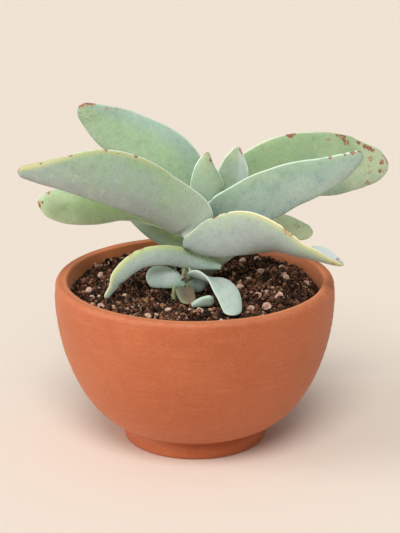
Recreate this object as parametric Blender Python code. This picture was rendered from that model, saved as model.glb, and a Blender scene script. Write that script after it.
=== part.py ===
"""A propeller plant growing in a bowl-shaped terracotta pot with a turned foot ring.

Run with blender --background --python part.py, or from Blender's text editor.
The frame: +Z up, the origin on the ground below the middle of the whole object's length and width,
+X to the side where the long leaf with the blunt end points, +Y away from the side seen first.
Shapes are given round the pot's axis in millimetres. Each object stands at POT_AXIS, in metres.
"""

import math

import bmesh
import bpy
import numpy as np

MM = 0.001
GAP = 0.3  # clearance between pieces that touch on the real object
POT_AXIS = (-6.6 * MM, 0.0, 0.0)  # off the origin, because the leaves reach further to the right

# The pot: a bowl on a low foot ring, with a drain hole through its floor.
POT_RADIUS = 70.0
POT_HEIGHT = 84.0
WIDEST_HEIGHT = 76.0
FOOT_RADIUS = 36.2
FOOT_HEIGHT = 9.0
FOOT_INNER_RADIUS = 28.5
FOOT_CHAMFER = 1.2
GROOVE_DEPTH = 0.9  # the turned line between the foot and the bowl
RECESS = 4.0  # how far the underside inside the foot ring lies above the ground
FLOOR_HEIGHT = 14.0
DRAIN_RADIUS = 6.0
LIP_ROUND = 2.6
LIP_INSET = 0.4
LIP_INNER_RADIUS = 63.8
LIP_INNER_ROUND = 1.2
POT_SEGMENTS = 48
# Bezier handles, as (radius, height), of the bowl's outer curve and of its inner wall.
BOWL_LOW_HANDLE = (54.8, 12.4)
BOWL_HIGH_HANDLE = (POT_RADIUS, 46.2)
WALL_TOP = (62.2, WIDEST_HEIGHT)
WALL_HIGH_HANDLE = (61.6, 48.0)
WALL_LOW_HANDLE = (48.0, FLOOR_HEIGHT)
WALL_FOOT = (22.0, FLOOR_HEIGHT)

# The potting mix: a gritty fill, a little below the lip and a little domed.
SOIL_LEVEL = 79.2
SOIL_DOME = 1.6
SOIL_DOME_RADIUS = 60.0
SOIL_SLOPE = 0.012  # it lies a little higher at the back
SOIL_RINGS = 31  # each ring of its top has six points more than the one inside it
# Clumps of the mix: (distance from one to the next, height, number that settles their places).
CLUMPS = [(6.5, 0.9, 11), (3.2, 0.4, 12)]
# Grains of the mix: one in each square of a grid, off its middle, up to half out of the mix.
GRAIN_SPACING = 4.4
GRAIN_RADII = (1.1, 2.2)
GRAIN_SEED = 14
# The larger stones, which stand half out of the mix: (x, y, radius).
STONES = [
    (-47.6, 15.0, 1.9),
    (-52.9, -5.3, 2.0),
    (-46.5, -27.0, 1.8),
    (-22.5, -43.6, 1.9),
    (-13.0, -37.0, 1.9),
    (-53.2, -27.0, 1.6),
    (3.2, -38.0, 2.0),
    (22.6, -6.0, 2.0),
    (33.7, 17.4, 2.6),
    (41.7, -20.4, 2.7),
    (35.2, -31.4, 2.9),
    (31.1, -19.4, 2.5),
    (24.8, 35.2, 1.9),
    (44.5, 27.8, 1.6),
    (32.2, 40.2, 1.9),
    (56.2, 7.1, 2.0),
    (45.8, 15.0, 1.6),
    (27.4, -34.6, 1.7),
    (-50.8, -15.9, 1.5),
    (46.1, 8.7, 1.8),
]
# Where a leaf comes down on the mix: (x, y, radius, height that the mix stays under).
REST_SPOTS = [
    (-44.6, -23.0, 5.0, 79.4),
    (18.5, -42.0, 9.0, 79.2),
    (-4.2, -19.0, 9.0, 79.0),
    (-3.8, -28.0, 6.0, 78.9),
    (4.2, -31.5, 7.5, 78.4),
    (1.0, -11.0, 6.0, 79.0),
    (6.0, 2.0, 6.0, 82.0),
]

# Round stems: points up the middle and the radius at each. Clasping leaf bases thicken the main one.
STEMS = {
    "stem": dict(
        path=[(-1, 0.5, 66), (0, 0.5, 84), (1.5, 0.5, 101), (4.5, 1.5, 114), (8.5, 3, 124)],
        radii=[6.4, 6.8, 6.8, 5.4, 3.4],
        stations=9,
        sides=18,
    ),
    "pup_stem": dict(
        path=[(-5, -10.4, 70), (-4.8, -10.4, 80), (-4.4, -10.2, 90)],
        radii=[2.4, 2.3, 1.6],
        stations=5,
        sides=10,
    ),
    "shoot": dict(
        path=[(-10.6, -19, 72), (-10.4, -19, 79), (-10.2, -18, 85)],
        radii=[1.3, 1.2, 0.9],
        stations=5,
        sides=8,
    ),
}

# How finely a leaf is meshed: rings along its body, then over its nose, and points round each ring.
LEAF_BODY_RINGS = 11
LEAF_SIDES = 12
SMALL_BODY_RINGS = 6
SMALL_SIDES = 10
NOSE_RINGS = [0.6, 0.28, 0.08, 0.0]  # shares of the nose that are still to go
EDGE_BLUNTNESS = 2.6  # superellipse power of the section: 2 is an ellipse, more is blunter
THINNEST = 0.35  # half the least width and thickness, at the very tip

# Each leaf is a blade swept along its midline, from base to tip:
#   colour   its material
#   seat     the stem that it grows from, if it isn't cut off
#   midline  points in mm
#   width    full width at each point
#   roll     degrees that the blade leans at each point, 0 when it stands on edge
#   curl     degrees that the section turns from margin to margin
#   thick    thickness in the middle, at the base and at the tip
#   nose     length of the rounded tip
#   level    the direction that roll is measured from: straight up, unless the leaf points up itself
LEAVES = {
    "leaf_upper_left_front": dict(
        colour="leaf_grey_green",
        seat="stem",
        midline=[
            (6, 1, 107),
            (2.6, -5.6, 109.4),
            (-2, -7.4, 116.4),
            (-13.2, -12, 126.7),
            (-29, -18, 137),
            (-46, -23, 143.3),
            (-63, -27, 145.4),
            (-77, -28.5, 146.3),
            (-84.6, -29, 147),
        ],
        width=[8, 14, 23.5, 25, 27.5, 25.5, 16.6, 8, 3.4],
        roll=[-10, -14, -14, 0, 8, 10, 10, 10, 10],
        curl=[10, 15, 20, 20, 20, 15, 10, 10, 10],
        thick=(3.4, 2.4),
        nose=2.5,
    ),
    "leaf_upper_right_front": dict(
        colour="leaf_grey_green",
        seat="stem",
        midline=[
            (4.6, -1.6, 118.8),
            (9, -2.7, 119.8),
            (14, -4, 121.4),
            (30.5, -5, 126.5),
            (47, -5, 133.4),
            (63, -5, 139),
            (75, -4.5, 144.6),
            (82, -4, 149.5),
        ],
        width=[6, 10, 15, 24, 22, 17, 10.5, 5],
        roll=[-4, -4, -5, -8, -8, -8, -8, -8],
        curl=[5, 10, 15, 20, 15, 10, 10, 10],
        thick=(3.4, 2.6),
        nose=3.0,
    ),
    "leaf_upper_right_back": dict(
        colour="leaf_green",
        seat="stem",
        midline=[
            (8, 4, 111),
            (14, 9.8, 118),
            (24, 13, 129.2),
            (36, 15.5, 135.2),
            (52, 18, 137.7),
            (70, 20.5, 136.8),
            (84, 24, 135.5),
            (97.8, 26, 134),
        ],
        width=[8, 12, 23, 28.2, 32, 31.6, 23.4, 12.6],
        roll=[-5, -10, -10, -10, -10, -10, -10, -10],
        curl=[10, 10, 20, 20, 20, 15, 10, 10],
        thick=(4.0, 3.2),
        nose=7.0,
    ),
    "leaf_upper_left_back": dict(
        colour="leaf_green",
        seat="stem",
        midline=[
            (5, 4, 117),
            (1.5, 8, 124),
            (-4, 11, 132.5),
            (-14, 15, 142.4),
            (-28, 20, 149),
            (-42.4, 25, 154.6),
            (-52.5, 29, 160),
            (-58.5, 31.5, 164),
        ],
        width=[8, 13, 22.6, 26, 25.4, 23, 14, 6.5],
        roll=[5, 8, 10, 10, 10, 10, 10, 10],
        curl=[10, 10, 20, 20, 20, 15, 10, 10],
        thick=(4.0, 2.8),
        nose=3.0,
    ),
    "leaf_middle_left": dict(
        colour="leaf_bright_green",
        seat="stem",
        midline=[
            (0, 1, 105),
            (-8, 3, 110),
            (-20, 4, 115),
            (-35, 4, 119.4),
            (-50, 2, 119.6),
            (-64, 0, 121),
            (-77.5, -2, 124.3),
        ],
        width=[7, 9, 10.5, 13.5, 17, 17.5, 11],
        roll=[20, 25, 30, 30, 25, 20, 15],
        curl=[20, 20, 20, 20, 20, 20, 10],
        thick=(4.0, 3.0),
        nose=7.0,
    ),
    "leaf_lower_left_back": dict(
        colour="leaf_bright_green",
        seat="stem",
        midline=[(0, 3, 96), (-8, 9, 99.5), (-18, 15.5, 106), (-29.5, 22.5, 113.5), (-39, 28, 119)],
        width=[8, 13, 17, 15, 6],
        roll=[20, 20, 20, 20, 20],
        curl=[20, 20, 20, 15, 10],
        thick=(4.2, 2.8),
        nose=5.0,
    ),
    "leaf_middle_right_front": dict(
        colour="leaf_grey_green",
        seat="stem",
        midline=[
            (0, -2, 102),
            (-4.4, -9.8, 105),
            (3.5, -13.2, 107),
            (12, -16, 109.9),
            (25, -19.5, 112.6),
            (38, -22.5, 110),
            (50, -24, 104),
            (61, -24, 101.2),
            (72.5, -26, 98.9),
        ],
        width=[5, 5, 15.8, 21.4, 23.3, 20.6, 18, 16.5, 4.6],
        roll=[0, 0, 0, 0, 5, 25, 55, 88, 92],
        curl=[0, -10, -20, -25, -30, -50, -100, -150, -120],
        thick=(3.4, 2.0),
        nose=2.5,
    ),
    "leaf_lower_left_front": dict(
        colour="leaf_grey_green",
        seat="stem",
        midline=[
            (13, -10, 92.3),
            (5, -9.2, 94.4),
            (-2.5, -8.8, 96.2),
            (-14.5, -14, 100),
            (-27, -17.5, 99.2),
            (-37, -20, 91),
            (-40.2, -21.5, 85.9),
            (-44.1, -23, 80.7),
        ],
        width=[2.5, 7, 9.5, 10.4, 9.4, 7.8, 4.6, 2.8],
        roll=[10, 10, 15, 20, 20, 15, 10, 10],
        curl=[20, 20, 20, 20, 20, 20, 15, 10],
        thick=(3.0, 2.0),
        nose=2.0,
    ),
    "leaf_lower_right_back": dict(
        colour="leaf_green",
        seat="stem",
        midline=[
            (-1, 1, 86),
            (6, 2.5, 90.5),
            (15, 5, 97.5),
            (28, 10, 104.5),
            (42, 16, 105.8),
            (52, 19.5, 102.3),
            (60, 22.5, 100),
        ],
        width=[8, 12, 13, 13, 12.5, 10.5, 6],
        roll=[0, -5, -10, -15, -15, -15, -15],
        curl=[20, 20, 20, 20, 20, 15, 10],
        thick=(4.0, 3.2),
        nose=4.0,
    ),
}
SMALL_LEAVES = {
    "leaf_young_front": dict(
        colour="leaf_green",
        seat="stem",
        midline=[(8.3, 0.4, 121), (6.9, 0.4, 126), (6.0, 0.6, 132), (5.2, 1.6, 140), (6.4, 3.2, 148.2)],
        width=[6, 14, 17, 11.5, 3],
        roll=[90, 90, 90, 90, 90],
        curl=[-30, -50, -50, -40, -30],
        thick=(3.0, 1.8),
        nose=2.0,
        level=(0, 1, 0),
    ),
    "leaf_young_back": dict(
        colour="leaf_green",
        seat="stem",
        midline=[(10, 5, 121), (14, 5.6, 127), (18.5, 7, 134.5), (19.8, 8.2, 142), (21.2, 9, 149.5)],
        width=[8, 14, 16.5, 12.5, 4],
        roll=[90, 90, 90, 90, 90],
        curl=[30, 40, 50, 40, 30],
        thick=(3.0, 1.8),
        nose=2.0,
        level=(0, 1, 0),
    ),
    "pup_leaf_left": dict(
        colour="pup_blue_green",
        seat="pup_stem",
        midline=[(-5, -13.9, 83.9), (-8.6, -12.6, 86.2), (-14.5, -11.4, 87.6), (-24.2, -11, 88)],
        width=[1.4, 8.2, 11.5, 9.5],
        roll=[30, 30, 25, 25],
        curl=[20, 20, 20, 20],
        thick=(2.8, 2.4),
        nose=4.0,
    ),
    "pup_leaf_right": dict(
        colour="pup_blue_green",
        seat="pup_stem",
        midline=[
            (-3.6, -11.8, 90),
            (1.5, -15.4, 90),
            (5.5, -18.6, 89.6),
            (11, -23.8, 89.2),
            (15.2, -31, 86.8),
            (17.6, -38, 83.8),
            (18.7, -47.6, 80.7),
        ],
        width=[4, 7, 9.5, 11.6, 11.6, 10.6, 8],
        roll=[60, 62, 66, 85, 100, 95, 90],
        curl=[-40, -70, -80, -50, -10, 10, 20],
        thick=(2.8, 2.2),
        nose=4.0,
    ),
    "pup_leaf_middle": dict(
        colour="pup_blue_green",
        seat="pup_stem",
        midline=[(-4, -10.6, 86), (0.5, -10.6, 84.8), (5.6, -11.8, 83)],
        width=[5, 10.5, 8],
        roll=[0, 0, 0],
        curl=[-20, -20, -20],
        thick=(2.6, 2.2),
        nose=3.0,
    ),
    "pup_leaf_dry": dict(
        colour="dry_leaf",
        seat="pup_stem",
        midline=[(-5, -12.2, 80.4), (-4.6, -17.5, 82.2), (-4.2, -24, 81.8), (-3.8, -30.5, 80.3)],
        width=[5, 8.4, 9, 8.4],
        roll=[90, 90, 90, 90],
        curl=[-20, -30, -30, -20],
        thick=(2.0, 1.6),
        nose=1.5,
    ),
    "seedling_leaf": dict(
        colour="pup_blue_green",
        seat=None,
        midline=[(-1.4, -31.5, 80), (4, -31.5, 81.9), (9.4, -31.5, 83)],
        width=[2.4, 5.6, 6.2],
        roll=[10, 10, 10],
        curl=[20, 20, 20],
        thick=(2.8, 3),
        nose=2.6,
    ),
}

# Each material's colour (linear) and roughness.
MATERIALS = {
    "terracotta": ((0.60, 0.21, 0.095), 0.85),
    "potting_mix": ((0.055, 0.028, 0.018), 0.95),
    "stem_green": ((0.16, 0.20, 0.08), 0.7),
    "leaf_grey_green": ((0.38, 0.48, 0.38), 0.6),
    "leaf_green": ((0.27, 0.43, 0.24), 0.6),
    "leaf_bright_green": ((0.25, 0.36, 0.13), 0.6),
    "pup_blue_green": ((0.42, 0.57, 0.49), 0.6),
    "dry_leaf": ((0.26, 0.19, 0.13), 0.8),
}


def clear_scene():
    for obj in list(bpy.data.objects):
        bpy.data.objects.remove(obj, do_unlink=True)


def material(name):
    """The named material, made the first time that it is asked for."""
    known = bpy.data.materials.get(name)
    if known:
        return known
    colour, roughness = MATERIALS[name]
    mat = bpy.data.materials.new(name)
    mat.use_nodes = True
    shader = mat.node_tree.nodes["Principled BSDF"]
    shader.inputs["Base Color"].default_value = (*colour, 1.0)
    shader.inputs["Roughness"].default_value = roughness
    shader.inputs["Metallic"].default_value = 0.0
    mat.diffuse_color = (*colour, 1.0)
    return mat


def add_object(name, bm, colour, smooth_under):
    """An object from a finished bmesh, smooth where faces meet at less than smooth_under degrees."""
    bmesh.ops.recalc_face_normals(bm, faces=bm.faces[:])
    mesh = bpy.data.meshes.new(name)
    bm.to_mesh(mesh)
    bm.free()
    mesh.materials.append(material(colour))
    mesh.shade_smooth()
    mesh.set_sharp_from_angle(angle=math.radians(smooth_under))
    obj = bpy.data.objects.new(name, mesh)
    obj.location = POT_AXIS
    bpy.context.scene.collection.objects.link(obj)
    return obj


def unit(vectors):
    return vectors / np.linalg.norm(vectors, axis=-1, keepdims=True)


def smooth_curve(points, shares):
    """Values of a Catmull-Rom curve through points at the given shares, 0 to 1, of its run."""
    points = np.asarray(points, float)
    if points.ndim == 1:
        points = points[:, None]
    before = 2 * points[:1] - points[1:2]
    after = 2 * points[-1:] - points[-2:-1]
    p = np.concatenate([before, points, after])
    place = np.clip(np.asarray(shares, float), 0, 1) * (len(points) - 1)
    i = np.minimum(place.astype(int), len(points) - 2)
    t = (place - i)[:, None]
    a, b, c, d = p[i], p[i + 1], p[i + 2], p[i + 3]
    return 0.5 * (2 * b + (c - a) * t + (2 * a - 5 * b + 4 * c - d) * t**2 + (3 * b - a - 3 * c + d) * t**3)


def heading(points, shares):
    """Unit directions of the smooth curve through points at the given shares."""
    inner = np.clip(shares, 1e-3, 1 - 1e-3)
    return unit(smooth_curve(points, inner + 1e-3) - smooth_curve(points, inner - 1e-3))


def bezier(start, first_handle, second_handle, end, count):
    t = np.linspace(0, 1, count)[:, None]
    a, b, c, d = (np.array(p, float) for p in (start, first_handle, second_handle, end))
    return (1 - t) ** 3 * a + 3 * (1 - t) ** 2 * t * b + 3 * (1 - t) * t**2 * c + t**3 * d


def arc(centre, radius, start, end, count):
    """Points of an arc in the (radius, height) plane, from start to end degrees."""
    angle = np.radians(np.linspace(start, end, count))[:, None]
    return np.array(centre) + radius * np.concatenate([np.cos(angle), np.sin(angle)], axis=1)


def wall_curve():
    """The pot's inner wall as (radius, height) points, from below the lip to the flat floor."""
    return bezier(WALL_TOP, WALL_HIGH_HANDLE, WALL_LOW_HANDLE, WALL_FOOT, 7)


def pot_profile():
    """The pot's closed section as (radius, height) points, up the outside and down the inside."""
    neck = FOOT_RADIUS - GROOVE_DEPTH
    foot = [
        (FOOT_INNER_RADIUS, 0.0),
        (FOOT_RADIUS - FOOT_CHAMFER, 0.0),
        (FOOT_RADIUS - FOOT_CHAMFER / 4, FOOT_CHAMFER * 3 / 4),
        (FOOT_RADIUS, FOOT_HEIGHT / 3),
        (FOOT_RADIUS, FOOT_HEIGHT - 3 * GROOVE_DEPTH),
        (neck, FOOT_HEIGHT - GROOVE_DEPTH),
    ]
    bowl = bezier((neck, FOOT_HEIGHT), BOWL_LOW_HANDLE, BOWL_HIGH_HANDLE, (POT_RADIUS, WIDEST_HEIGHT), 12)
    lip_centre = (POT_RADIUS - LIP_INSET - LIP_ROUND, POT_HEIGHT - LIP_ROUND)
    inner_centre = (LIP_INNER_RADIUS + LIP_INNER_ROUND, POT_HEIGHT - LIP_INNER_ROUND)
    lip = [*arc(lip_centre, LIP_ROUND, 0, 90, 4), *arc(inner_centre, LIP_INNER_ROUND, 90, 180, 3)]
    base = [(DRAIN_RADIUS, FLOOR_HEIGHT), (DRAIN_RADIUS, RECESS), (FOOT_INNER_RADIUS - FOOT_CHAMFER, RECESS)]
    return [tuple(p) for p in (*foot, *bowl, *lip, *wall_curve(), *base)]


def make_pot():
    """The pot's section turned once round the Z axis."""
    bm = bmesh.new()
    profile = [bm.verts.new((radius * MM, 0.0, height * MM)) for radius, height in pot_profile()]
    edges = [bm.edges.new(pair) for pair in zip(profile, profile[1:] + profile[:1])]
    bmesh.ops.spin(
        bm,
        geom=profile + edges,
        cent=(0, 0, 0),
        axis=(0, 0, 1),
        angle=2 * math.pi,
        steps=POT_SEGMENTS,
        use_merge=True,
    )
    return add_object("pot", bm, "terracotta", 35)


def scatter(places, seed):
    """A random value from 0 to 1 for each whole-number place, made by multiplying and shifting it."""
    key = places @ np.array([374761393, 668265263, 2246822519]) + seed * 3266489917
    key = (key ^ (key >> 13)) * 1274126177
    return ((key ^ (key >> 16)) & 0xFFFF) / 65535


def lumps(points, size, seed):
    """Smooth noise from -1 to 1 at points, with lumps about as far apart as size.

    Space is cut into cubes with edges of that size. Each cube's corner has a random value, and a
    point takes the eight values round it, blended along each axis by the smooth step.
    """
    place = points / size
    cell = np.floor(place).astype(np.int64)
    part = place - cell
    part = part * part * (3 - 2 * part)
    total = np.zeros(points.shape[:-1])
    for corner in np.ndindex(2, 2, 2):
        weight = np.prod(np.where(corner, part, 1 - part), axis=-1)
        total += weight * (2 * scatter(cell + corner, seed) - 1)
    return total


def grain_rise(x, y):
    """How far the grains stand up: the highest of the round caps in the nine squares round a place."""
    square = np.floor(np.stack([x, y, np.zeros_like(x)], axis=-1) / GRAIN_SPACING).astype(np.int64)
    least, most = GRAIN_RADII
    rise = np.zeros_like(x)
    for right, back in np.ndindex(3, 3):
        near = square + (right - 1, back - 1, 0)
        off_x, off_y, share = (scatter(near, GRAIN_SEED + i) for i in range(3))
        away_x = x - (near[..., 0] + 0.25 + 0.5 * off_x) * GRAIN_SPACING
        away_y = y - (near[..., 1] + 0.25 + 0.5 * off_y) * GRAIN_SPACING
        radius = least + (most - least) * share
        rise = np.maximum(rise, np.sqrt(np.clip(radius**2 - away_x**2 - away_y**2, 0, None)))
    return rise


def soil_height(x, y):
    """Heights of the mix: a low dome with two sizes of clumps and the caps of grains and stones."""
    out = np.minimum(np.hypot(x, y) / SOIL_DOME_RADIUS, 1)
    height = SOIL_LEVEL + SOIL_SLOPE * y + SOIL_DOME * np.cos(out * math.pi / 2)
    flat = np.stack([x, y, np.zeros_like(x)], axis=-1)
    for size, rise, seed in CLUMPS:
        height = height + rise * lumps(flat, size, seed)
    rise = grain_rise(x, y)
    for stone_x, stone_y, radius in STONES:
        away = np.hypot(x - stone_x, y - stone_y)
        rise = np.maximum(rise, np.sqrt(np.clip(radius**2 - away**2, 0, None)))
    height = height + rise
    for spot_x, spot_y, radius, ceiling in REST_SPOTS:
        outside = np.maximum(np.hypot(x - spot_x, y - spot_y) - radius, 0)
        height = np.minimum(height, ceiling + outside)
    return height


def soil_top(reach):
    """Places on the top, in rings of 6, 12, 18 and so on round the crown out to reach, and its faces."""
    places = [(0.0, 0.0)]
    faces = []
    for ring in range(1, SOIL_RINGS + 1):
        inner_count, outer_count = max(6 * (ring - 1), 1), 6 * ring
        outer = len(places)
        inner = outer - inner_count
        radius = reach * ring / SOIL_RINGS
        for i in range(outer_count):
            turn = 2 * math.pi * i / outer_count
            places.append((radius * math.cos(turn), radius * math.sin(turn)))
            side, step = divmod(i, ring)
            a, b = outer + i, outer + (i + 1) % outer_count
            c = inner + (side * (ring - 1) + step) % inner_count
            faces.append((c, a, b))
            if step < ring - 1:
                faces.append((c, b, inner + (side * (ring - 1) + step + 1) % inner_count))
    return np.array(places), faces


def make_soil():
    """The fill: its sides follow the pot's wall at a small gap, its top is the clumpy surface."""
    wall = wall_curve() + (-GAP, GAP)
    places, faces = soil_top(wall[0, 0])
    x, y = places.T
    bm = bmesh.new()
    top = [bm.verts.new(point * MM) for point in np.stack([x, y, soil_height(x, y)], axis=1)]
    for face in faces:
        bm.faces.new([top[i] for i in face])
    above = top[-6 * SOIL_RINGS :]
    rim = places[-6 * SOIL_RINGS :] / wall[0, 0]
    for radius, height in wall:
        below = [bm.verts.new((radius * u * MM, radius * v * MM, height * MM)) for u, v in rim]
        for i in range(len(rim)):
            bm.faces.new((above[i - 1], above[i], below[i], below[i - 1]))
        above = below
    heel = bm.verts.new((0.0, 0.0, wall[-1, 1] * MM))
    for i in range(len(rim)):
        bm.faces.new((above[i - 1], above[i], heel))
    bmesh.ops.triangulate(bm, faces=bm.faces[:])
    return add_object("soil", bm, "potting_mix", 20)


def skin(name, rings, colour):
    """An object whose mesh joins the rings in order, with both ends closed by a fan."""
    sides = rings.shape[1]
    bm = bmesh.new()
    rows = [[bm.verts.new(point * MM) for point in ring] for ring in rings]
    for lower, upper in zip(rows, rows[1:]):
        for i in range(sides):
            j = (i + 1) % sides
            bm.faces.new((lower[i], lower[j], upper[j], upper[i]))
    for row, ring in ((rows[0], rings[0]), (rows[-1], rings[-1])):
        centre = bm.verts.new(ring.mean(axis=0) * MM)
        for a, b in zip(row, row[1:] + row[:1]):
            bm.faces.new((centre, a, b))
    bmesh.ops.triangulate(bm, faces=bm.faces[:])
    return add_object(name, bm, colour, 50)


def stem_rings(stem, grow=0.0):
    """Rings of points round a bent round rod. All of it is grow thicker, and longer at both ends."""
    shares = np.linspace(0, 1, stem["stations"])
    middle = smooth_curve(stem["path"], shares)
    along = heading(stem["path"], shares)
    middle[0] -= along[0] * grow
    middle[-1] += along[-1] * grow
    radius = smooth_curve(stem["radii"], shares)[:, :, None] + grow
    first = unit(np.cross(along, (0.0, 1.0, 0.0)))[:, None]
    second = np.cross(along[:, None], first)
    angle = np.linspace(0, 2 * math.pi, stem["sides"], endpoint=False)[None, :, None]
    return middle[:, None] + radius * (np.cos(angle) * first + np.sin(angle) * second)


def leaf_stations(leaf, body_rings):
    """Shares of the midline for its rings, even along the body and closer over the nose.

    Also gives each ring's distance to the tip, as a share of the nose's length, at most 1.
    """
    fine = np.linspace(0, 1, 400)
    steps = np.linalg.norm(np.diff(smooth_curve(leaf["midline"], fine), axis=0), axis=1)
    run = np.concatenate([[0], np.cumsum(steps)])
    body = np.linspace(0, run[-1] - leaf["nose"], body_rings)
    nose = run[-1] - leaf["nose"] * np.array(NOSE_RINGS)
    places = np.concatenate([body, nose])
    return np.interp(places, run, fine), np.clip((run[-1] - places) / leaf["nose"], 0, 1)


def leaf_rings(leaf, body_rings, sides):
    """Rings of points round the blade, base to tip: (rings, sides, 3), in mm.

    The section is a superellipse bent to an arc that turns by curl degrees from margin to margin.
    """
    shares, to_tip = leaf_stations(leaf, body_rings)
    middle = smooth_curve(leaf["midline"], shares)
    along = heading(leaf["midline"], shares)
    rounding = np.sqrt(1 - (1 - to_tip) ** 2)
    base_thick, tip_thick = leaf["thick"]
    half = np.maximum(smooth_curve(leaf["width"], shares)[:, 0] / 2 * rounding, THINNEST)[:, None]
    thick = np.maximum((base_thick + (tip_thick - base_thick) * shares) / 2 * rounding, THINNEST)[:, None]
    roll = np.radians(smooth_curve(leaf["roll"], shares))
    curl = np.radians(smooth_curve(leaf["curl"], shares))
    curl = np.where(np.abs(curl) < 1e-3, 1e-3, curl)
    side = unit(np.cross(along, leaf.get("level", (0.0, 0.0, 1.0))))
    across = np.cos(roll) * np.cross(side, along) + np.sin(roll) * side
    normal = np.cross(along, across)
    angle = np.linspace(0, 2 * math.pi, sides, endpoint=False)[None, :]
    to_margin = np.sign(np.cos(angle)) * np.abs(np.cos(angle)) ** (2 / EDGE_BLUNTNESS)
    radius = 2 * half / curl
    reach = radius - np.sin(angle) * thick
    swing = to_margin * curl / 2
    x = (reach * np.sin(swing))[..., None]
    y = (radius - reach * np.cos(swing))[..., None]
    return middle[:, None] + x * across[:, None] + y * normal[:, None]


def make_stem(name):
    return skin(name, stem_rings(STEMS[name]), "stem_green")


def make_cutter(name):
    """The named stem a little larger, which cuts its hole in the mix and its seat in each leaf."""
    cutter = skin(name + "_cutter", stem_rings(STEMS[name], GAP), "stem_green")
    cutter.hide_render = True
    cutter.display_type = "WIRE"
    return cutter


def make_leaf(name, leaf, body_rings, sides):
    return skin(name, leaf_rings(leaf, body_rings, sides), leaf["colour"])


def cut(obj, cutter):
    boolean = obj.modifiers.new(cutter.name, "BOOLEAN")
    boolean.operation = "DIFFERENCE"
    boolean.solver = "EXACT"
    boolean.object = cutter


def main():
    clear_scene()
    make_pot()
    soil = make_soil()
    cutters = {}
    for name in STEMS:
        make_stem(name)
        cutters[name] = make_cutter(name)
        cut(soil, cutters[name])
    blades = {name: (leaf, LEAF_BODY_RINGS, LEAF_SIDES) for name, leaf in LEAVES.items()}
    blades |= {name: (leaf, SMALL_BODY_RINGS, SMALL_SIDES) for name, leaf in SMALL_LEAVES.items()}
    for name, (leaf, body_rings, sides) in blades.items():
        blade = make_leaf(name, leaf, body_rings, sides)
        if leaf["seat"]:
            cut(blade, cutters[leaf["seat"]])


main()
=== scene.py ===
"""The finished surfaces of a propeller plant that grows in a bowl-shaped terracotta pot.

Every new piece is a surface worked out with numpy. Its shape is given in millimetres round the
pot's axis, and add_piece() carries it to the frame's place and to metres.
"""

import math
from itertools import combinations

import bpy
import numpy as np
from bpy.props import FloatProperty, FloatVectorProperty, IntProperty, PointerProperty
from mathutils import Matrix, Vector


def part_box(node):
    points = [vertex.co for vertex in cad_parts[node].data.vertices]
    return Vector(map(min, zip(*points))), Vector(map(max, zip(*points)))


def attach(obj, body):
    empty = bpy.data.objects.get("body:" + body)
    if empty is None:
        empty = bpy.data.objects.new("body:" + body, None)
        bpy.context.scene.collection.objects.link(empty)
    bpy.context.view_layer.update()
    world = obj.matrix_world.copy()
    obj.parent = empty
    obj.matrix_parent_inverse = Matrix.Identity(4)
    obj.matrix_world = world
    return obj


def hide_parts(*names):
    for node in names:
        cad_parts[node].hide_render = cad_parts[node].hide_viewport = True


bl_info = {
    "name": "Potted Propeller Plant",
    "version": (1, 0, 0),
    "blender": (4, 5, 0),
    "location": "3D View > Sidebar > Plant",
    "description": "Pot, gritty soil, stems and fleshy leaves of a potted propeller plant",
    "category": "Add Mesh",
}

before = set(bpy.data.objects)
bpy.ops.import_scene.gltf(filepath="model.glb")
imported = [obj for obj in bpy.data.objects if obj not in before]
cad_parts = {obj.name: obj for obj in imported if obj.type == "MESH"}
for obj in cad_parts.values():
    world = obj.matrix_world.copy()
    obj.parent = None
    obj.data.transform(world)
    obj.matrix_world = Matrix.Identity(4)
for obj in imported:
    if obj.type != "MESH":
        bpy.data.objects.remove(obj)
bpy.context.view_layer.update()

MM = 0.001
POT_LOW, POT_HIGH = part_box("pot")
AXIS = np.array([(POT_LOW.x + POT_HIGH.x) / 2, (POT_LOW.y + POT_HIGH.y) / 2, POT_LOW.z])

# All lumps below are (size, height, number that settles their places), in mm.

# The pot's section, in mm, as (radius, height): its foot, the bowl's curve, the lip and the inner wall.
FOOT_RADIUS = 36.2
FOOT_HEIGHT = 9.0
FOOT_INNER_RADIUS = 28.5
FOOT_CHAMFER = 1.2
GROOVE_DEPTH = 0.9
RECESS = 4.0
DRAIN_RADIUS = 6.0
WIDEST_HEIGHT = 76.0
BOWL_LOW_HANDLE = (54.8, 12.4)
BOWL_HIGH_HANDLE_HEIGHT = 46.2
LIP_ROUND = 2.6
LIP_INSET = 0.4
LIP_INNER_RADIUS = 63.8
LIP_INNER_ROUND = 1.2
WALL = [(62.2, 76.0), (61.6, 48.0), (48.0, 14.0), (22.0, 14.0)]  # top, two handles, foot
SECTION_STEP = 1.5
# The unevenness of thrown clay, in mm: finger ridges, a slow wobble and a fine noise.
RIDGE = 0.07
RIDGE_RATE = 1.55  # how fast a ridge turns with the height, in radians a mm
RIDGE_SWAY = 1.2
RIDGE_SWAY_RATE = 0.21
WOBBLES = (0.22, 0.1)
EVEN_FOOT = (1.5, 6.0)  # all of this sets in between these heights
CLAY_LUMPS = [(7.0, 0.09, 3), (2.0, 0.03, 4)]
LIP_LUMPS = (16.0, 0.12, 5)

# The soil's crown: a low dome that lies a little higher at the back.
SOIL_LEVEL = 79.2
SOIL_DOME = 1.6
SOIL_DOME_RADIUS = 60.0
SOIL_SLOPE = 0.012
SOIL_GAP = 0.3
SOIL_RINGS = 130
RING_CROWDING = 0.8  # below 1, the rings lie closer together towards the wall
SOIL_SIDES = 360
WALL_DIP = 1.6  # how far the bed sinks where it meets the wall
BED_DROP = 0.6  # how far the bed lies below the crowns of the crumbs that cover it
SOIL_LUMPS = [(6.5, 0.9, 11), (3.2, 0.4, 12), (1.3, 0.45, 13)]
# Clods of the mix: one in each square of a grid, off its middle, up to half out of the mix.
CLOD_SPACING = 4.4
CLOD_RADII = (1.1, 2.2)
CLOD_SEED = 14
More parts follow.
